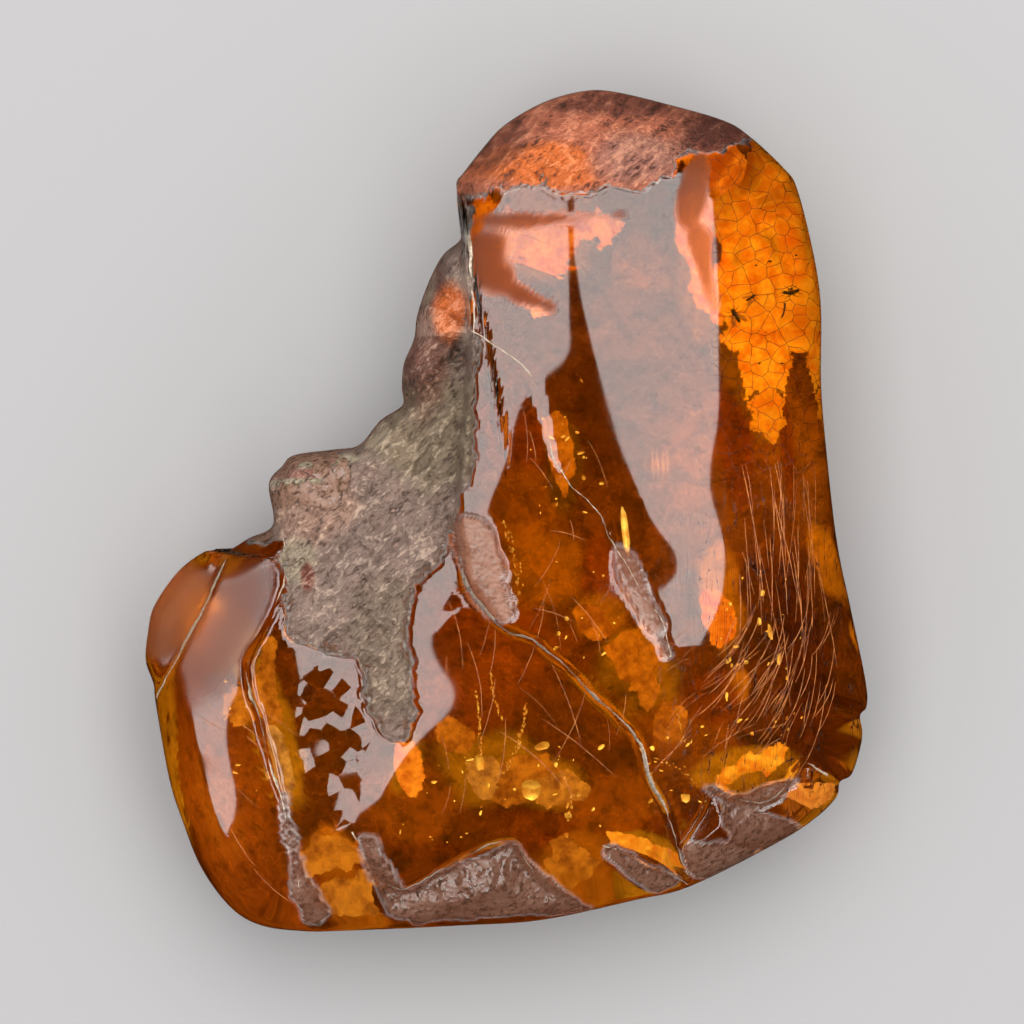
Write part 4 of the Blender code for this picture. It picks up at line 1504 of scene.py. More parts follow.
@dataclass
class Fly:
    """A small fly: three body parts, eyes, segmented abdomen, six legs, feelers and two wings.

    Its parts are given for a body one millimetre long that looks along X.
    """

    node: str
    place: tuple[float, float, float]
    heading: float
    length: float
    body_finish: BodyFinish
    wing_finish: BodyFinish

    def to_amber(self, points: Array) -> Array:
        """Points of the fly, grown, turned and moved to its place."""
        angle = math.radians(self.heading)
        turn = np.array([[math.cos(angle), math.sin(angle), 0], [-math.sin(angle), math.cos(angle), 0], [0, 0, 1]])
        return points * self.length @ turn + np.array(self.place)

    def abdomen(self) -> tuple[Array, Array]:
        """A tapered tube whose radius dips at each of seven segments."""
        t = np.linspace(0, 1, 43)
        path = np.stack([0.02 - 0.55 * t, 0 * t, 0.02 - 0.08 * t**2], 1)
        outline = 0.125 * np.sqrt(np.clip(1 - (1.75 * t - 0.72) ** 2 / 1.1, 0.004, 1))
        return tube(path, outline * (1 - 0.13 * np.abs(np.sin(7 * math.pi * t)) ** 6), 18)

    def limb(self, knees: Sequence[Sequence[float]], radius: float) -> tuple[Array, Array]:
        """A leg or feeler: a tube through its joints, thick at the root and knotted at each joint."""
        joints = np.array(knees, float)
        t = np.linspace(0, len(joints) - 1, 6 * (len(joints) - 1) + 1)
        path = np.stack([np.interp(t, range(len(joints)), joints[:, k]) for k in range(3)], 1)
        swell = 1 + 0.35 * np.cos(2 * math.pi * t)
        return tube(path, radius * swell * np.linspace(1, 0.35, len(t)), 7)

    def body_parts(self) -> Heap:
        """Everything but the wings."""
        heap = Heap()
        parts = [
            ball(np.array([0.40, 0, 0.0]), np.diag([0.10, 0.12, 0.11]), 14, 18),
            ball(np.array([0.18, 0, 0.05]), np.diag([0.20, 0.15, 0.17]), 16, 20),
            ball(np.array([0.05, 0, 0.10]), np.diag([0.08, 0.10, 0.06]), 10, 14),
            self.abdomen(),
            self.limb([(0.48, 0, -0.05), (0.54, 0, -0.12), (0.55, 0, -0.18)], 0.022),
        ]
        for side in (-1, 1):
            parts.append(ball(np.array([0.43, side * 0.075, 0.03]), np.diag([0.065, 0.06, 0.08]), 12, 14))
            parts.append(ball(np.array([0.02, side * 0.16, 0.06]), np.diag([0.02, 0.03, 0.02]), 6, 8))
            feeler = [(0.47, 0.04, 0.05), (0.56, 0.10, 0.08), (0.65, 0.15, 0.07), (0.74, 0.17, 0.04)]
            parts.append(self.limb([(x, side * y, z) for x, y, z in feeler], 0.016))
            for hip, knee, shin, toe in ((0.28, 0.42, 0.50, 0.58), (0.16, 0.15, 0.12, 0.10), (0.05, -0.12, -0.24, -0.36)):
                leg = [(hip, 0.08, -0.06), (knee, 0.30, 0.04), (shin, 0.42, -0.10), (toe, 0.52, -0.19)]
                parts.append(self.limb([(x, side * y, z) for x, y, z in leg], 0.024))
        for points, faces in parts:
            heap.add(self.to_amber(points), faces)
        return heap

    def wing_parts(self) -> Heap:
        """Two thin blades, swept back, with ridges for veins that fan from the root."""
        heap = Heap()
        across, along = np.meshgrid(np.linspace(-1, 1, 15), np.linspace(0, 1, 27))
        half = 0.13 * np.sqrt(np.clip(1 - (2 * along - 1.08) ** 2 / 1.17, 0, 1)) + 0.008
        vein = 0.004 * np.abs(np.cos(4.5 * math.pi * across / 2)) ** 12
        for side in (-1, 1):
            x = 0.14 - 0.80 * along
            y = side * (0.10 + 0.34 * along + half * across)
            z = 0.13 + 0.05 * along - 0.03 * across**2 + vein
            upper = np.stack([x, y, z], -1).reshape(-1, 3)
            heap.add(self.to_amber(upper), grid_faces(27, 15))
        return heap

    def build(self) -> None:
        """Makes the body and the wings."""
        body = self.body_parts().make(f"{self.node}_body", self.body_finish.make(), "insect")
        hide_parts(self.node)
        self.wing_parts().make(f"{self.node}_wings", self.wing_finish.make(), "insect")


@dataclass(frozen=True)
class Fan:
    """A fan of hairlines: the box it starts in, headings at either end, count, lengths, width.

    The headings are for the lines at the left and at the right side of the box, and turned is how
    far each line turns on its way.
    """

    corners: tuple[Place, Place]
    headings: Place
    spread: float
    turned: float
    count: int
    shortest: float
    longest: float
    width: float = 0.07


@dataclass
class Hairlines:
    """Long fine scratches in the polished face, as thin ribbons that rest on it."""

    name: str
    face: Face
    finish: BodyFinish
    fans: tuple[Fan, ...]
    lift: float = 0.012
    steps: int = 24
    seed: int = 5

    def build(self) -> bpy.types.Object:
        """Makes the piece: each ribbon follows an arc and rests on the face."""
        draw = np.random.default_rng(self.seed)
        left, right = [], []
        for fan in self.fans:
            low, high = np.minimum(*np.array(fan.corners)), np.maximum(*np.array(fan.corners))
            for _ in range(fan.count):
                u, v = draw.random(2)
                x, y = low + (high - low) * (u, v)
                heading = fan.headings[0] + (fan.headings[1] - fan.headings[0]) * u
                heading = math.radians(heading + fan.spread * draw.normal())
                length = fan.shortest + (fan.longest - fan.shortest) * draw.random() ** 2
                turn = math.radians(fan.turned * (0.6 + 0.8 * draw.random()))
                angles = heading + turn * np.linspace(0, 1, self.steps) ** 1.3
                px = x + np.cumsum(np.cos(angles)) * length / self.steps
                py = y + np.cumsum(np.sin(angles)) * length / self.steps
                px = px + 0.05 * fractal(px, py, 1.2, 2, 13)
                taper = np.sin(np.linspace(0.08, math.pi - 0.08, self.steps)) ** 0.5
                half = taper * fan.width * (0.5 + 0.7 * draw.random()) / 2
                left.append(np.stack([px - np.sin(angles) * half, py + np.cos(angles) * half], 1))
                right.append(np.stack([px + np.sin(angles) * half, py - np.cos(angles) * half], 1))
        places = np.stack([np.array(right), np.array(left)], 2)
        x, y = places.reshape(-1, 2).T
        survey = self.face.survey(x, y)
        shape = (len(left), self.steps * 2)
        clear = (self.face.depth(x, y) > 0.5) & (survey.crust < 0.05)
        heap = Heap()
        points = np.stack([x, y, survey.height + self.lift], 1).reshape(*shape, 3)
        for ribbon in points[clear.reshape(shape).all(1)]:
            heap.add(ribbon, grid_faces(self.steps, 2))
        return heap.make(self.name, self.finish.make(), "amber")


# The part's own values


def the_outline() -> Line:
    """The widest outline, clockwise from the broken left edge of the column."""
    return Line(
        (
            (-3.9, 30.2), (-2.1, 32.5), (-0.2, 34.5), (3.2, 36.5), (6.6, 37.5), (9.5, 37.5),
            (14.6, 36.3), (19.4, 34.9), (21.7, 33.5), (24.8, 30.6), (26.0, 28.7), (27.5, 22.6),
            (28.1, 18.0), (28.1, 11.6), (28.5, 6.2), (29.5, -2.6), (30.8, -8.9), (32.1, -15.2),
            (32.2, -17.5), (31.6, -18.3), (31.8, -20.3), (30.9, -23.5), (29.8, -24.2),
            (29.5, -25.6), (27.6, -27.5), (24.2, -29.7), (16.4, -33.6), (11.6, -34.8),
            (3.2, -36.6), (-4.1, -37.1), (-15.1, -37.6), (-18.4, -37.6), (-22.0, -37.1),
            (-24.7, -35.5), (-27.3, -32.0), (-29.0, -27.8), (-30.2, -24.0), (-31.4, -17.3),
            (-31.6, -15.5), (-32.3, -13.4), (-32.1, -10.8), (-31.5, -8.4), (-29.2, -5.2),
            (-26.5, -3.4), (-25.1, -3.6), (-23.0, -2.4), (-20.9, -1.2), (-21.3, 2.4),
            (-20.1, 4.0), (-19.0, 5.0), (-15.4, 5.5), (-13.2, 5.9), (-11.3, 8.1), (-9.3, 9.5),
            (-9.4, 11.0), (-9.2, 13.2), (-8.3, 15.4), (-8.0, 17.6), (-6.9, 20.7), (-5.7, 22.9),
            (-4.1, 24.3), (-3.9, 25.9), (-4.5, 27.8), (-4.5, 29.4),
        ),
        closed=True,
    )  # fmt: skip


def the_column() -> Form:
    """The tall polished form on the right, and the middle of the face below it."""
    return Form(
        (
            (-3.3, 26.5, 0.10, -0.03), (6.1, 26.5, 0.010, -0.03, 28.2), (12.8, 26.5, -0.095, -0.03),
            (19.1, 26.5, -0.192, -0.03), (25.4, 25.1, -0.34, -0.03), (-3.3, 18.9, 0.11, 0.0),
            (6.1, 18.0, 0.010, 0.0, 28.4), (12.8, 18.0, -0.09, 0.0), (19.1, 18.0, -0.192, 0.0),
            (25.4, 18.0, -0.33, 0.0), (4.4, 14.1, 0.012, 0.018), (8.3, 13.2, -0.008, 0.022),
            (-1.5, 10.8, 0.085, 0.035), (3.3, 11.7, 0.016, 0.03), (9.6, 8.2, -0.023, 0.05),
            (19.1, 9.9, -0.192, 0.04), (25.4, 9.9, -0.32, 0.04), (-3.3, 5.5, 0.10, 0.07),
            (0.9, 5.5, 0.036, 0.073), (10.5, 5.2, -0.033, 0.075), (19.1, 5.2, -0.192, 0.075),
            (-3.7, -0.8, 0.09, 0.12), (-1.5, -0.8, 0.055, 0.12), (4.8, -0.8, 0.0, 0.12),
            (11.7, 0.8, -0.047, 0.11), (18.9, 0.1, -0.192, 0.11), (26.3, 0.1, -0.31, 0.11),
            (-0.6, -7.1, 0.045, 0.165), (4.8, -8.0, 0.0, 0.18), (12.8, -5.2, -0.068, 0.155, 25.2),
            (18.2, -5.2, -0.194, 0.155), (26.3, -8.0, -0.30, 0.17), (8.4, -12.4, -0.03, 0.21),
            (15.5, -11.5, -0.09, 0.21), (17.3, -11.5, -0.195, 0.215), (10.2, -20.5, -0.04, 0.28),
            (17.3, -20.5, -0.16, 0.28), (26.3, -18.7, -0.28, 0.27), (15.5, -27.7, -0.10, 0.36),
            (6.1, 34.1, 0.01, -0.20), (16.4, 32.3, -0.14, -0.16),
        )
    )  # fmt: skip


def the_left_lobe() -> Form:
    """The broad lobe at the lower left, with the hollow above it."""
    return Form(
        (
            (-4.6, -4.4, 0.035, 0.08, 23.4), (-6.0, -11.5, 0.046, 0.10), (-8.2, -18.7, 0.059, 0.13),
            (-10.4, -24.1, 0.07, 0.155), (-13.1, -28.6, 0.08, 0.185), (-19.4, -12.4, 0.174, 0.10),
            (-17.6, -18.7, 0.177, 0.13), (-15.3, -25.0, 0.18, 0.16), (-14.5, -28.6, 0.18, 0.185),
            (-0.6, -11.5, 0.0, 0.11), (-0.6, -18.7, 0.0, 0.15), (-2.4, -25.9, 0.0, 0.22),
            (4.8, -16.9, -0.03, 0.14), (4.8, -25.9, -0.03, 0.24), (11.9, -25.9, -0.05, 0.30),
            (-6.8, -31.2, 0.03, 0.32), (4.8, -32.1, -0.02, 0.36), (-14.9, -32.1, 0.10, 0.33),
            (11.9, -31.2, -0.05, 0.38), (-9.5, 5.5, 0.10, 0.05, 21.5), (-11.3, -4.4, 0.12, 0.06),
            (-6.8, 9.9, 0.15, 0.0, 21.0), (-6.0, 17.1, 0.25, 0.0, 20.0), (-16.7, 3.7, 0.12, -0.05),
            (-18.5, -4.4, 0.14, 0.03),
        )
    )  # fmt: skip


def the_far_left_lobe() -> Form:
    """The narrow lobe at the far left."""
    return Form(
        (
            (-21.6, -8.0, 0.006, 0.08, 20.8), (-28.8, -8.0, 0.156, 0.08), (-23.9, -16.9, 0.025, 0.12),
            (-28.3, -16.9, 0.157, 0.12), (-26.5, -25.9, 0.049, 0.17), (-28.2, -25.9, 0.16, 0.17),
            (-26.0, -30.3, 0.062, 0.19), (-27.6, -30.3, 0.162, 0.19), (-19.4, -18.7, -0.02, 0.14),
            (-20.3, -25.9, 0.0, 0.20), (-19.4, -33.0, 0.0, 0.32), (-23.0, -4.4, 0.02, 0.02),
            (-27.4, -4.4, 0.12, 0.02), (-23.9, -34.8, 0.06, 0.34), (-31.9, -16.9, 0.30, 0.12),
        )
    )  # fmt: skip


COLUMN_EDGE = Line(
    (
        (19.1, -39.3), (16.4, -33.0), (14.2, -26.8), (12.4, -23.2), (11.5, -20.0), (8.4, -16.9),
        (4.8, -13.3), (2.1, -11.3), (-0.6, -10.2), (-3.1, -7.1), (-4.0, -4.4), (-4.3, -1.0),
        (-3.9, 6.4), (-3.2, 15.8), (-3.9, 21.6), (-4.0, 24.3), (-4.3, 27.8), (-6.8, 32.3),
    )
)  # fmt: skip
FAR_LEFT_EDGE = Line(
    (
        (-22.5, 2.8), (-19.8, -2.1), (-19.6, -5.3), (-20.7, -9.3), (-23.0, -13.8), (-21.9, -18.3),
        (-20.7, -23.2), (-19.2, -28.6), (-18.3, -33.9), (-16.7, -40.2),
    )
)  # fmt: skip
SKIN_EDGE = Line(
    (
        (14.4, -12.9), (13.7, -9.8), (11.9, -7.1), (9.4, -3.0), (8.2, -0.4), (4.6, 3.7),
        (3.5, 7.7), (2.4, 11.3), (0.3, 13.5), (-3.3, 15.8),
    )
)  # fmt: skip
BOTTOM_LEDGE = Line(
    (
        (-13.6, -28.4), (-11.8, -31.6), (-9.5, -33.7), (-5.9, -32.0), (-2.8, -30.2),
        (0.5, -29.3), (1.7, -31.2), (3.7, -33.5), (8.0, -35.0),
    )
)  # fmt: skip
CORNER_CHIP = Line(
    (
        (14.8, -30.6), (17.2, -26.9), (18.2, -24.9), (21.2, -25.8), (24.0, -25.4), (26.2, -22.3),
        (28.6, -23.6),
    )
)  # fmt: skip
BOTTOM_CHIP = Line(((8.6, -29.6), (10.4, -30.2), (12.8, -31.2), (16.4, -33.6)))
BLOCK_EDGE = Line(((-31.8, -17.5), (-29.5, -13.5), (-27.9, -10.5), (-25.6, -5.8), (-24.0, -1.5)))


def the_face() -> Face:
    """The face with all its lines and regions."""
    grounds = {
        "hollow": RoughGround(
            Line(
                (
                    (-13.5, 6.5), (-9.1, 10.2), (-6.0, 12.5), (-4.0, 15.3), (-2.6, 14.0), (-2.9, 7.2),
                    (-3.3, 3.7), (-4.6, -0.8), (-6.0, -4.4), (-8.5, -7.1), (-9.1, -10.7),
                    (-8.5, -16.0), (-9.5, -20.0), (-12.2, -16.9), (-13.1, -13.3), (-15.8, -12.4),
                    (-18.5, -11.5), (-19.6, -8.9), (-19.6, -3.0), (-21.0, 2.0), (-19.0, 5.5),
                ),
                closed=True,
            ), 1.3, 0.35, 4.5, 0.85, 1.5,
        ),
        "broken_side": RoughGround(
            Line(
                ((-10.5, 8.5), (-3.6, 13.0), (-3.3, 18.0), (-3.5, 22.0), (-3.6, 26.5), (-7.5, 24.0),
                 (-9.5, 17.0), (-11.0, 12.0)),
                closed=True,
            ), 0.3, 0.9, 6.0, 0.70, 2.2, 0.40,
        ),
        "shoulder": RoughGround(
            Line(
                ((-22.5, -2.5), (-15.5, -0.5), (-11.5, 3.5), (-11.0, 8.0), (-16.0, 7.0), (-22.5, 4.0)),
                closed=True,
            ), 0.2, 0.6, 5.0, 0.35, 2.4, 0.50,
        ),
        "top_skin": RoughGround(
            Line(
                ((-4.6, 28.2), (-0.6, 28.6), (3.0, 28.9), (7.5, 28.0), (9.4, 28.7), (13.3, 28.7),
                 (16.4, 32.0), (20.5, 32.0), (22.5, 34.5), (8.0, 39.0), (-1.5, 35.5)),
                closed=True,
            ), 0.2, 0.12, 3.5, 0.60, 1.2, 0.0, 1.3,
        ),
    }  # fmt: skip
    scars = {
        "skin_edge": Scar(SKIN_EDGE, 0.10, 25.0, 0.15, 0.40),
        "bottom_ledge": Scar(BOTTOM_LEDGE, -1.5, 5.0, 0.2),
        "corner_chip": Scar(CORNER_CHIP, -1.5, 4.5, 0.2),
        "bottom_chip": Scar(BOTTOM_CHIP, -1.0, 3.0, 0.3),
        "far_left_block": Scar(BLOCK_EDGE, 3.2, 7.0, 0.35),
    }
    chips = (
        # Chip at the lower end of the fine flake line
        Chip(
            Line(
                ((9.6, -3.2), (11.0, -4.0), (12.9, -8.0), (14.2, -12.0), (13.6, -12.4), (11.8, -9.4),
                 (9.9, -6.0)), True,
            ), (9.0, 0.0), 0.15, 0.03, 1.3, 0.38, 0.8,
        ),
        # Tan strip beside the hollow
        Chip(
            Line(
                ((-4.4, -1.0), (-1.2, -1.4), (-0.4, -5.0), (0.6, -8.6), (-0.8, -9.6), (-3.2, -7.4)),
                True,
            ), (-3.0, 4.0), 0.2, 0.01, 2.6, 0.55, 0.75,
        ),
        # Breaks along the bottom
        Chip(
            Line(
                (
                    (-13.1, -29.1), (-11.6, -29.4), (-10.2, -31.5), (-8.7, -33.6), (-6.9, -32.7),
                    (-5.1, -31.6), (-2.4, -30.8), (0.5, -29.6), (1.7, -31.2), (4.1, -33.0),
                    (6.5, -34.8), (7.1, -35.8), (-1.8, -36.2), (-6.0, -36.6), (-10.2, -36.2),
                    (-11.1, -34.2), (-12.2, -31.8),
                ), True,
            ), (-6.0, -26.0), 0.2, 0.10, 1.5, 0.62,
        ),
        # Frosted strip along the far-left edge
        Chip(
            Line(
                (
                    (-20.0, -25.4), (-19.3, -25.4), (-18.6, -30.2), (-17.0, -34.1), (-15.9, -35.9),
                    (-18.2, -36.4), (-19.1, -31.8), (-19.8, -28.0),
                ), True,
            ), (-18.0, -20.0), 0.1, 0.03, 1.5, 0.6,
        ),
        # Fan-rippled chip at the lower right corner
        Chip(
            Line(
                (
                    (17.5, -24.4), (18.9, -25.9), (19.5, -27.3), (20.1, -29.4), (24.0, -30.0),
                    (26.1, -28.5), (23.7, -27.3), (21.9, -26.8), (23.7, -25.9), (25.5, -24.1),
                    (20.7, -25.0),
                ), True,
            ), (17.0, -24.0), 0.2, 0.10, 1.1, 0.66,
        ),
        Chip(
            Line(((16.0, -29.7), (17.8, -29.4), (20.7, -30.0), (21.9, -30.9), (18.3, -32.7), (16.2, -31.8)), True),
            (20.0, -28.0), 0.2, 0.12, 0.9, 0.8,
        ),
        Chip(
            Line(
                (
                    (8.8, -30.0), (10.6, -30.4), (12.4, -31.5), (14.2, -32.1), (15.4, -33.0),
                    (13.6, -33.9), (11.2, -32.7), (9.7, -31.5),
                ), True,
            ), (8.0, -29.0), 0.2, 0.08, 1.2, 0.6,
        ),
    )
    return Face(
        outline=the_outline(),
        column=the_column(),
        left_lobe=the_left_lobe(),
        far_left_lobe=the_far_left_lobe(),
        column_edge=COLUMN_EDGE,
        far_left_edge=FAR_LEFT_EDGE,
        roundings=(
            (28.0, 20.0, 5.0), (30.0, 0.0, 5.0), (30.0, -20.0, 5.0), (10.0, 37.0, 8.0),
            (22.0, 33.0, 7.0), (-3.5, 30.0, 5.0), (-4.0, 24.0, 1.6), (-8.0, 16.0, 3.0),
            (-12.0, 8.0, 2.4), (-19.0, 5.0, 2.4), (-24.0, -3.0, 3.0), (-31.0, -12.0, 3.2),
            (-28.0, -30.0, 3.4), (-15.0, -37.0, 4.0), (5.0, -36.0, 4.0), (20.0, -32.0, 4.0),
        ),
        scars=scars,
        grounds=grounds,
        chips=chips,
    )  # fmt: skip


def the_patches() -> tuple[Patch, ...]:
    """The tones inside the amber, from the broad ones to the small ones laid over them. The flame and glow patches are
    painted glow of light shining through the amber.
    """
    return (
        # Right side, from the top down
        Patch(23.0, 2.0, 8.0, 9.0, Tone.RUST, soft=0.8),
        Patch(25.5, -13.0, 6.5, 10.0, Tone.DARK, soft=0.8),
        # Painted glow of the bright window, where light shines through from behind
        Patch(23.4, 19.8, 5.2, 12.0, Tone.PAINTED_GLOW, soft=0.35),
        Patch(22.0, 28.0, 4.0, 3.6, Tone.ORANGE),
        Patch(19.8, 31.0, 3.0, 2.8, Tone.BROWN),
        Patch(26.0, 8.0, 2.2, 5.0, Tone.ORANGE),
        Patch(20.4, 6.0, 1.6, 5.5, Tone.RED, turn=8),
        Patch(28.2, 18.0, 1.1, 13.0, Tone.RED, strength=0.85),
        Patch(19.3, -7.6, 2.0, 4.9, Tone.PAINTED_FLAME_LIGHT, turn=4, soft=0.35),
        Patch(21.6, -6.4, 0.9, 2.2, Tone.DARK),
        Patch(20.9, -15.6, 0.8, 1.4, Tone.PAINTED_FLAME_LIGHT),
        # Column
        Patch(6.0, 14.0, 9.0, 9.0, Tone.BROWN, soft=0.8),
        Patch(1.4, 24.6, 6.6, 4.0, Tone.PAINTED_FLAME_LIGHT, soft=0.5),
        Patch(3.0, 31.5, 7.0, 2.4, Tone.ORANGE),
        Patch(17.4, 21.8, 2.2, 6.0, Tone.PAINTED_FLAME_LIGHT),
        Patch(12.4, 22.0, 2.6, 2.6, Tone.RUST),
        Patch(13.8, 4.2, 1.0, 0.6, Tone.PAINTED_FLAME_LIGHT),
        Patch(8.4, 9.0, 3.0, 6.0, Tone.DARK, soft=0.8),
        # Middle
        Patch(1.6, 5.6, 3.4, 3.8, Tone.RED),
        Patch(1.2, 0.2, 3.6, 3.4, Tone.RUST),
        Patch(3.2, -5.2, 3.6, 3.4, Tone.ORANGE, strength=0.7),
        Patch(5.2, 4.2, 1.4, 3.6, Tone.OLIVE),
        Patch(8.6, -6.0, 1.8, 3.6, Tone.RED),
        Patch(8.2, -9.4, 2.4, 1.8, Tone.PAINTED_FLAME_LIGHT, strength=0.8),
        Patch(11.2, -16.0, 3.8, 4.6, Tone.OCHRE, soft=0.4),
        Patch(12.0, -13.2, 2.0, 2.0, Tone.PAINTED_FLAME_LIGHT),
        Patch(15.6, -20.4, 4.6, 3.4, Tone.RUST),
        Patch(18.6, -17.0, 2.6, 2.6, Tone.RED),
        Patch(21.3, -23.0, 4.8, 1.7, Tone.PAINTED_GLOW, turn=12, soft=0.35),
        Patch(28.6, -23.4, 1.6, 1.6, Tone.ORANGE),
        # Left lobe
        Patch(-2.0, -15.0, 8.0, 7.0, Tone.RED, soft=0.8),
        Patch(7.0, -20.0, 5.0, 6.0, Tone.BROWN, soft=0.8),
        Patch(-1.6, -23.0, 6.0, 3.2, Tone.OCHRE, soft=0.5),
        Patch(4.0, -24.6, 3.2, 2.0, Tone.PAINTED_GLOW, strength=0.8),
        Patch(-8.4, -26.0, 4.0, 3.6, Tone.RUST),
        Patch(-9.0, -22.6, 1.0, 2.6, Tone.PAINTED_GLOW, turn=-20, strength=0.8),
        Patch(9.5, -26.5, 4.0, 3.2, Tone.RUST),
        Patch(2.0, -28.6, 4.4, 1.6, Tone.RED),
        Patch(-14.9, -32.2, 4.2, 3.4, Tone.PAINTED_FLAME_LIGHT, soft=0.4),
        Patch(6.0, -31.6, 3.2, 2.8, Tone.PAINTED_FLAME_LIGHT),
        Patch(12.6, -30.4, 3.6, 1.6, Tone.GOLD, turn=-12, soft=0.35),
        Patch(27.2, -26.0, 2.4, 1.8, Tone.PAINTED_FLAME_LIGHT),
        # Groove and far left
        Patch(-21.0, -18.7, 1.7, 7.6, Tone.PAINTED_GLOW, turn=17, soft=0.4),
        Patch(-24.4, -25.0, 3.4, 8.4, Tone.RUST, turn=15),
        Patch(-25.6, -27.0, 1.6, 4.6, Tone.ORANGE, turn=20, strength=0.7),
        Patch(-28.8, -17.8, 2.0, 4.8, Tone.RED, turn=8, soft=0.4),
        Patch(-20.0, -33.0, 3.6, 2.6, Tone.RUST),
        Patch(-28.8, -8.4, 3.2, 4.6, Tone.ORANGE),
    )


def the_crusts(face: Face) -> tuple[Crust, ...]:
    """The weathered skin on the broken left side, and on the top."""
    side = (
        Patch(-6.8, 7.2, 5.5, 6.0, Tone.GREY),
        Patch(-11.3, -0.8, 4.0, 5.0, Tone.MAUVE),
        Patch(-10.4, -11.5, 4.0, 7.0, Tone.GREY, strength=0.6),
        Patch(-17.6, 1.0, 4.2, 3.6, Tone.TAN),
        Patch(-18.0, 3.4, 4.0, 0.8, Tone.ROSE, turn=-8),
        Patch(-16.4, 4.4, 5.0, 0.45, Tone.CREAM, turn=6, ragged=0.6),
        Patch(-18.2, 2.6, 3.4, 0.3, Tone.CREAM, turn=4, ragged=0.6),
        Patch(-18.7, -4.4, 1.6, 2.0, Tone.CREAM, strength=0.7),
        Patch(-17.6, -5.8, 0.7, 1.3, Tone.RUSSET),
        Patch(-7.3, 16.2, 2.6, 6.5, Tone.RUSSET, strength=0.7),
        Patch(-5.0, 17.5, 1.5, 2.6, Tone.PAINTED_SKIN_LIGHT, strength=0.9),
        Patch(-7.6, 21.0, 1.2, 2.6, Tone.CREAM, strength=0.5),
    )
    top = (
        Patch(3.0, 30.2, 6.0, 1.9, Tone.PAINTED_SKIN_LIGHT, strength=0.9),
        Patch(19.6, 33.0, 5.0, 2.6, Tone.RUSSET),
        Patch(-1.0, 33.0, 3.0, 3.0, Tone.RUSSET, strength=0.6),
        Patch(10.0, 36.0, 7.0, 1.4, Tone.RUSSET, strength=0.7),
        Patch(11.5, 31.0, 4.4, 2.6, Tone.ROSE, strength=0.8),
    )
    # Each finish gives a painted pit shade and a painted crest highlight
    grey = CrustFinish("weathered_crust", (0.050, 0.026, 0.016), (0.34, 0.29, 0.22))
    red = CrustFinish("weathered_skin", (0.060, 0.016, 0.007), (0.36, 0.20, 0.11), fleck=(0.75, 0.28))
    return (
        Crust("side_crust", face, grey, (-23.5, -22.0), (-1.5, 28.0), Tone.MAUVE, side),
        Crust("top_crust", face, red, (-6.5, 26.5), (25.0, 38.0), Tone.SKIN, top),
    )


def the_rims() -> tuple[Rim, ...]:
    """The crushed edges, with the widest first."""
    return (
        Rim(COLUMN_EDGE, 0.40, 0.25),
        Rim(FAR_LEFT_EDGE, 0.30, 0.45),
        Rim(Line(((-3.0, 11.5), (-2.9, 16.0), (-3.0, 20.0), (-3.3, 24.0), (-3.6, 27.5))), 0.34, 0.3),
        Rim(SKIN_EDGE, 0.13, 0.2),
        Rim(BOTTOM_LEDGE, 0.22, 0.6),
        Rim(CORNER_CHIP, 0.24, 0.6),
        Rim(BOTTOM_CHIP, 0.18, 0.6),
        Rim(BLOCK_EDGE, 0.30, 0.4),
    )


def the_fans() -> tuple[Fan, ...]:
    """Families of hairlines: down the right side, at its foot, and on the two left lobes."""
    return (
        Fan(((20.5, 5.0), (28.0, -6.0)), (-82, -86), 5, -6, 44, 4.0, 12.0, 0.058),
        Fan(((20.0, -8.0), (29.5, -15.0)), (-112, -96), 7, -30, 44, 4.0, 10.0, 0.055),
        Fan(((16.0, -8.0), (27.0, -20.0)), (-140, -120), 14, 18, 34, 2.5, 6.0, 0.045),
        Fan(((-6.0, -11.0), (10.0, -28.0)), (70, 110), 26, 20, 22, 3.0, 9.0, 0.04),
        Fan(((0.0, 6.0), (9.0, -14.0)), (60, 120), 30, 20, 14, 2.0, 6.0, 0.035),
        Fan(((-29.0, -14.0), (-21.0, -32.0)), (-66, -50), 18, 14, 12, 3.0, 8.0, 0.045),
    )


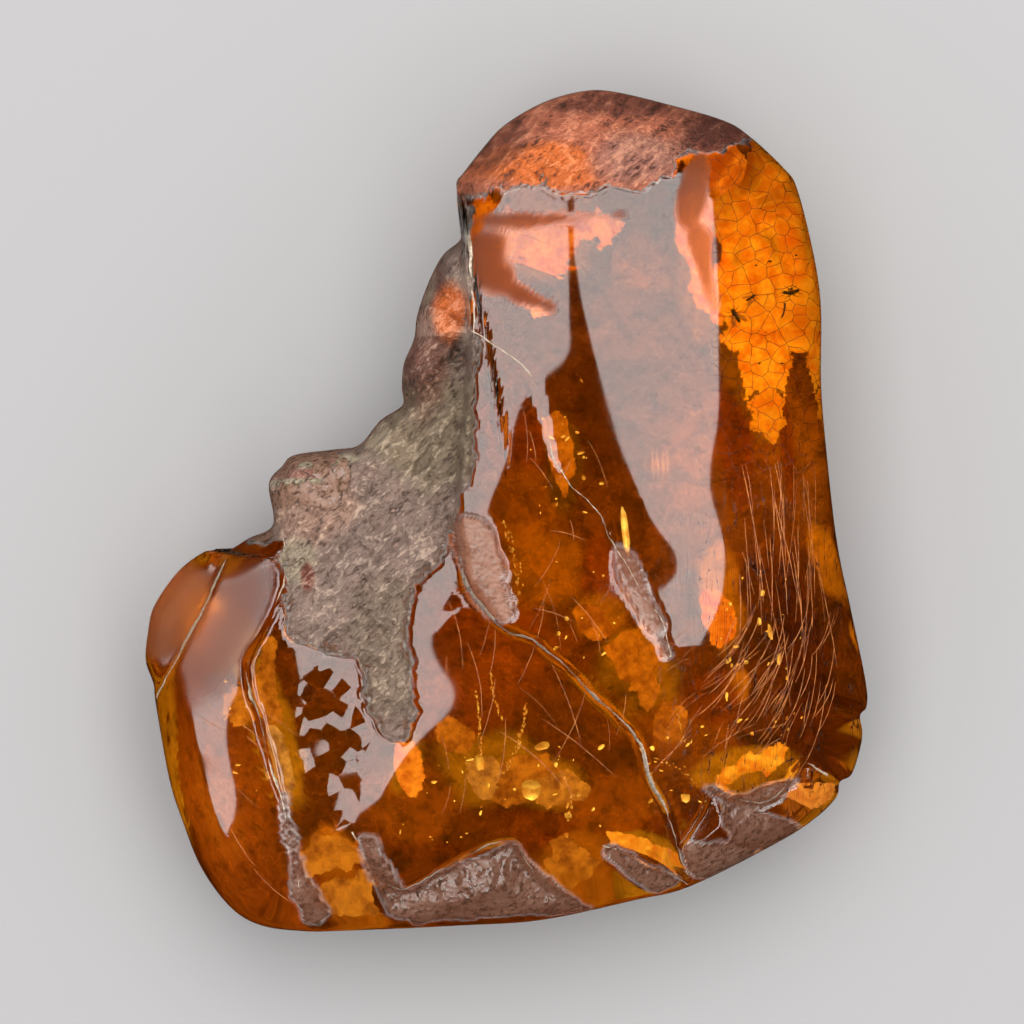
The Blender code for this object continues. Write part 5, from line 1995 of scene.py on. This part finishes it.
def build_inside(sight: Sight) -> None:
    """Gaps, bubbles, specks and flies."""
    gold = FilmFinish("gold_film", (1.0, 0.62, 0.08), (0.80, 0.30, 0.02), 0.25, 0.45)
    flakes = (
        Flake(3.2, -21.0, 2.5, 0.7, 0.4, 20, 30),
        Flake(2.2, -24.9, 2.5, 0.9, 0.9, 0, 25),
        Flake(10.6, -1.9, 1.2, 0.3, 2.3, 6, 12),
        Flake(-2.4, -22.4, 3.0, 0.4, 0.8, 10, 20),
        Flake(16.0, -25.6, 2.0, 0.42, 0.40, 0, 20),
        Flake(5.4, 6.5, 2.5, 0.30, 0.16, 40, 20),
        Flake(5.05, 6.7, 2.5, 0.22, 0.12, 30, 20),
        Flake(6.6, 5.2, 2.5, 0.36, 0.14, 15, 25),
        Flake(6.9, 3.0, 2.5, 0.16, 0.30, 20, 30),
        Flake(8.5, 2.5, 2.5, 0.22, 0.14, 0, 30),
        Flake(23.6, -10.8, 2.0, 0.22, 0.75, 12, 15),
        Flake(24.4, -13.2, 2.0, 0.22, 0.55, 0, 15),
    )
    glints = (
        Glints((22.5, -13.0), (5.0, 9.0), 26, 0.26),
        Glints((8.0, -9.0), (5.0, 6.0), 18, 0.22),
        Glints((0.0, -25.0), (12.0, 6.0), 34, 0.26),
        Glints((5.0, 6.0), (4.0, 8.0), 16, 0.20),
        Glints((15.0, -22.0), (4.0, 5.0), 14, 0.24),
        Glints((-24.5, -20.0), (3.0, 9.0), 10, 0.20),
    )
    Flakes("gold_gaps", gold, sight, flakes, glints).build()
    window = (
        (17.6, 29.0), (16.0, 26.0), (17.4, 23.2), (15.4, 20.4), (17.6, 17.2), (17.2, 15.6), (19.4, 13.4),
        (20.2, 11.5), (21.0, 8.0), (25.0, 6.0),
        (26.0, 14.0), (25.0, 24.0), (22.5, 28.5),
    )  # fmt: skip
    streaks = (
        (-3.7, 26.3), (4.0, 26.7), (10.1, 25.9), (9.4, 24.2), (4.0, 22.9), (0.2, 22.1), (1.3, 20.2),
        (4.0, 17.7), (0.9, 18.5), (-2.2, 20.2), (-3.6, 23.2),
    )  # fmt: skip
    sun = (
        Sheet(window, 9.0, 1.5, lying=True),
        Sheet(((17.8, -23.9), (20.8, -22.4), (24.3, -20.6), (26.0, -20.8), (24.6, -22.7), (20.8, -24.0)), 9.0),
        Sheet(((9.0, -28.9), (11.0, -28.7), (15.0, -30.8), (14.5, -31.8), (11.0, -30.5)), 9.0, 0.5),
    )  # fmt: skip
    yellow = FilmFinish("sun_film", (1.0, 0.70, 0.16), (0.90, 0.34, 0.04), 0.42, 0.5)
    Sheets("sun_gaps", yellow, sight, sun).build()
    ember = (
        Sheet(streaks, 14.0, 1.8),
        Sheet(((15.1, 25.9), (17.4, 31.7), (18.7, 27.1), (18.2, 20.2), (20.1, 15.6), (17.0, 18.5), (15.9, 22.9)), 12.0),
        Sheet(((17.6, -7.4), (20.4, -8.2), (20.6, -10.8), (19.0, -12.2), (17.6, -10.6)), 10.0, 0.7),
        Sheet(((-9.9, -19.2), (-8.2, -20.4), (-7.4, -24.0), (-8.8, -25.6), (-10.2, -22.6)), 10.0, 0.5),
        Sheet(((-31.6, -9.6), (-29.4, -7.6), (-27.6, -5.6), (-28.0, -9.0), (-30.2, -11.6)), 12.0),
        Sheet(((26.0, -26.4), (27.6, -24.6), (29.2, -24.4), (28.6, -26.2)), 12.0, 0.6),
    )  # fmt: skip
    orange = FilmFinish("ember_film", (1.0, 0.46, 0.08), (0.62, 0.14, 0.02), 0.45, 0.3)
    Sheets("ember_gaps", orange, sight, ember).build()
    ochre = (
        Sheet(((-21.5, -19.3), (-20.5, -19.3), (-19.6, -21.3), (-19.1, -22.9), (-18.9, -25.0), (-19.9, -25.3), (-20.9, -23.8), (-21.4, -21.5)), 15.0, 0.3),
        Sheet(((-3.2, -22.2), (-1.0, -22.0), (-0.6, -24.0), (-1.4, -25.9), (-3.0, -25.4)), 14.0, 0.8),
        Sheet(((-21.6, -11.3), (-20.5, -11.7), (-20.7, -15.4), (-20.0, -18.6), (-21.4, -19.1), (-22.8, -17.0), (-23.1, -15.9), (-22.3, -14.3)), 9.0, 0.3),
        Sheet(((-0.6, -23.0), (1.6, -21.6), (4.2, -22.6), (5.0, -24.4), (1.4, -26.4), (-2.0, -25.4)), 9.0),
        Sheet(((2.2, -24.6), (5.4, -23.4), (7.6, -25.0), (5.0, -26.2), (2.6, -25.9)), 12.0, 0.9),
        Sheet(((-16.1, -35.9), (-13.4, -36.2), (-10.8, -35.6), (-12.7, -32.9), (-15.4, -32.9), (-17.1, -33.9)), 9.0, 0.6),
        Sheet(((-4.8, -18.4), (-2.8, -19.8), (-3.4, -21.4), (-5.6, -21.0), (-6.2, -19.4)), 9.0, 0.7),
        Sheet(((6.4, -8.6), (8.4, -9.0), (9.2, -11.0), (7.6, -11.8), (6.2, -10.6)), 9.0, 0.7),
        Sheet(((13.8, -16.6), (15.6, -17.6), (15.4, -20.6), (13.4, -19.8)), 9.0, 0.8),
        Sheet(((3.6, 7.6), (5.2, 8.4), (6.2, 3.6), (5.2, 1.0), (4.0, 3.4)), 12.0, 0.8),
        Sheet(((9.4, -12.6), (12.2, -11.6), (13.4, -14.0), (12.8, -17.6), (10.4, -16.0)), 10.0, 1.6),
        Sheet(((-15.9, -28.4), (-13.4, -30.5), (-13.0, -32.5), (-17.3, -32.1), (-17.6, -29.6)), 9.0, 1.2),
        Sheet(((3.6, -29.8), (6.6, -29.4), (8.6, -31.8), (6.4, -33.4), (3.4, -32.4)), 9.0, 1.4),
    )  # fmt: skip
    Sheets("ochre_gaps", FilmFinish("ochre_film", (0.72, 0.35, 0.05), (0.32, 0.11, 0.016), 0.5, 0.15), sight, ochre).build()
    Bubbles(
        "bubble_trains",
        sight,
        FilmFinish("bubble_skin", (1.0, 0.52, 0.07), (0.85, 0.30, 0.02), 0.18, 0.25),
        (
            Train((-2.8, -16.2), (-2.3, -22.4), 0.03, 34, 0.06, 0.15),
            Train((-1.4, -14.5), (-0.4, -18.6), -0.05, 26, 0.05, 0.13),
            Train((1.7, -17.2), (0.0, -23.2), 0.06, 32, 0.06, 0.15),
            Train((-0.3, -1.0), (1.1, -7.8), 0.05, 46, 0.05, 0.12, 0.22),
            Train((12.9, -22.2), (17.2, -24.8), 0.1, 16, 0.05, 0.10),
            Train((5.6, -27.6), (6.2, -25.6), 0.1, 14, 0.08, 0.16, 0.2),
            Train((15.2, -17.8), (15.9, -20.8), 0.0, 10, 0.06, 0.14),
            Train((25.2, -18.0), (24.0, -21.6), 0.0, 12, 0.04, 0.10, 0.4),
        ),
    ).build()
    Debris(
        sight,
        BodyFinish("bark", (0.012, 0.007, 0.004), (0.06, 0.03, 0.012)),
        specks=((22.4, 22.0, 0.12), (24.6, 13.2, 0.10), (19.8, 13.4, 0.09), (23.4, 16.0, 0.07)),
    ).build()
    body = BodyFinish("fly_skin", (0.010, 0.006, 0.003), (0.05, 0.025, 0.010), 0.08)
    wing = BodyFinish("fly_wing", (0.22, 0.11, 0.035), (0.45, 0.26, 0.10), 0.10, 0.25, 0.75)
    Fly("fly", (19.3, 17.4, PARTING_Z), 118.0, 1.3, body, wing).build()
    Fly("small_fly", (20.5, 19.0, PARTING_Z), 35.0, 0.9, body, wing).build()


def main() -> None:
    """Builds the studio and every piece."""
    logging.basicConfig(level=logging.INFO, format="%(message)s")
    studio = Studio()
    studio.build()
    face = the_face()
    sight = Sight(face, studio.eye)
    faceted = (Patch(-15.4, -20.4, 3.4, 6.8, Tone.MAUVE, turn=8, soft=0.3),)
    worn = (
        Patch(-25.2, -9.4, 3.2, 8.2, Tone.MAUVE, turn=-22, strength=0.5, ragged=0.2, soft=0.8),
        Patch(-29.6, -9.0, 3.4, 4.6, Tone.MAUVE, turn=-30, ragged=0.2, soft=0.4),
        Patch(2.0, 25.4, 8.6, 0.9, Tone.MAUVE, turn=3, strength=0.9, ragged=1.0),
        Patch(-2.2, 22.0, 2.2, 2.6, Tone.MAUVE, ragged=0.8),
        Patch(1.6, 18.9, 3.0, 0.8, Tone.MAUVE, turn=-25, ragged=0.8),
        Patch(16.4, 28.4, 1.0, 3.2, Tone.MAUVE, turn=-14, strength=0.85, ragged=0.9),
        Patch(17.2, 21.6, 0.8, 3.6, Tone.MAUVE, turn=12, strength=0.8, ragged=0.9),
    )
    Amber(face, sight, AmberFinish(), the_patches(), faceted, worn).build()
    for crust in the_crusts(face):
        crust.build()
    build_inside(sight)
    dust = BodyFinish("scratch_dust", (0.16, 0.04, 0.008), (0.50, 0.17, 0.03), 0.9, 0.5)
    Hairlines("face_scratches", face, dust, the_fans()).build()
    # Pale crumbs along the break edges, partly a painted highlight of their lit rims
    crumbs = BodyFinish("edge_crumbs_and_highlight", (0.20, 0.14, 0.09), (0.52, 0.45, 0.35), 0.25, 0.45)
    CrushedEdges("crushed_edges", face, crumbs, the_rims()).build()


if __name__ == "__main__":
    main()
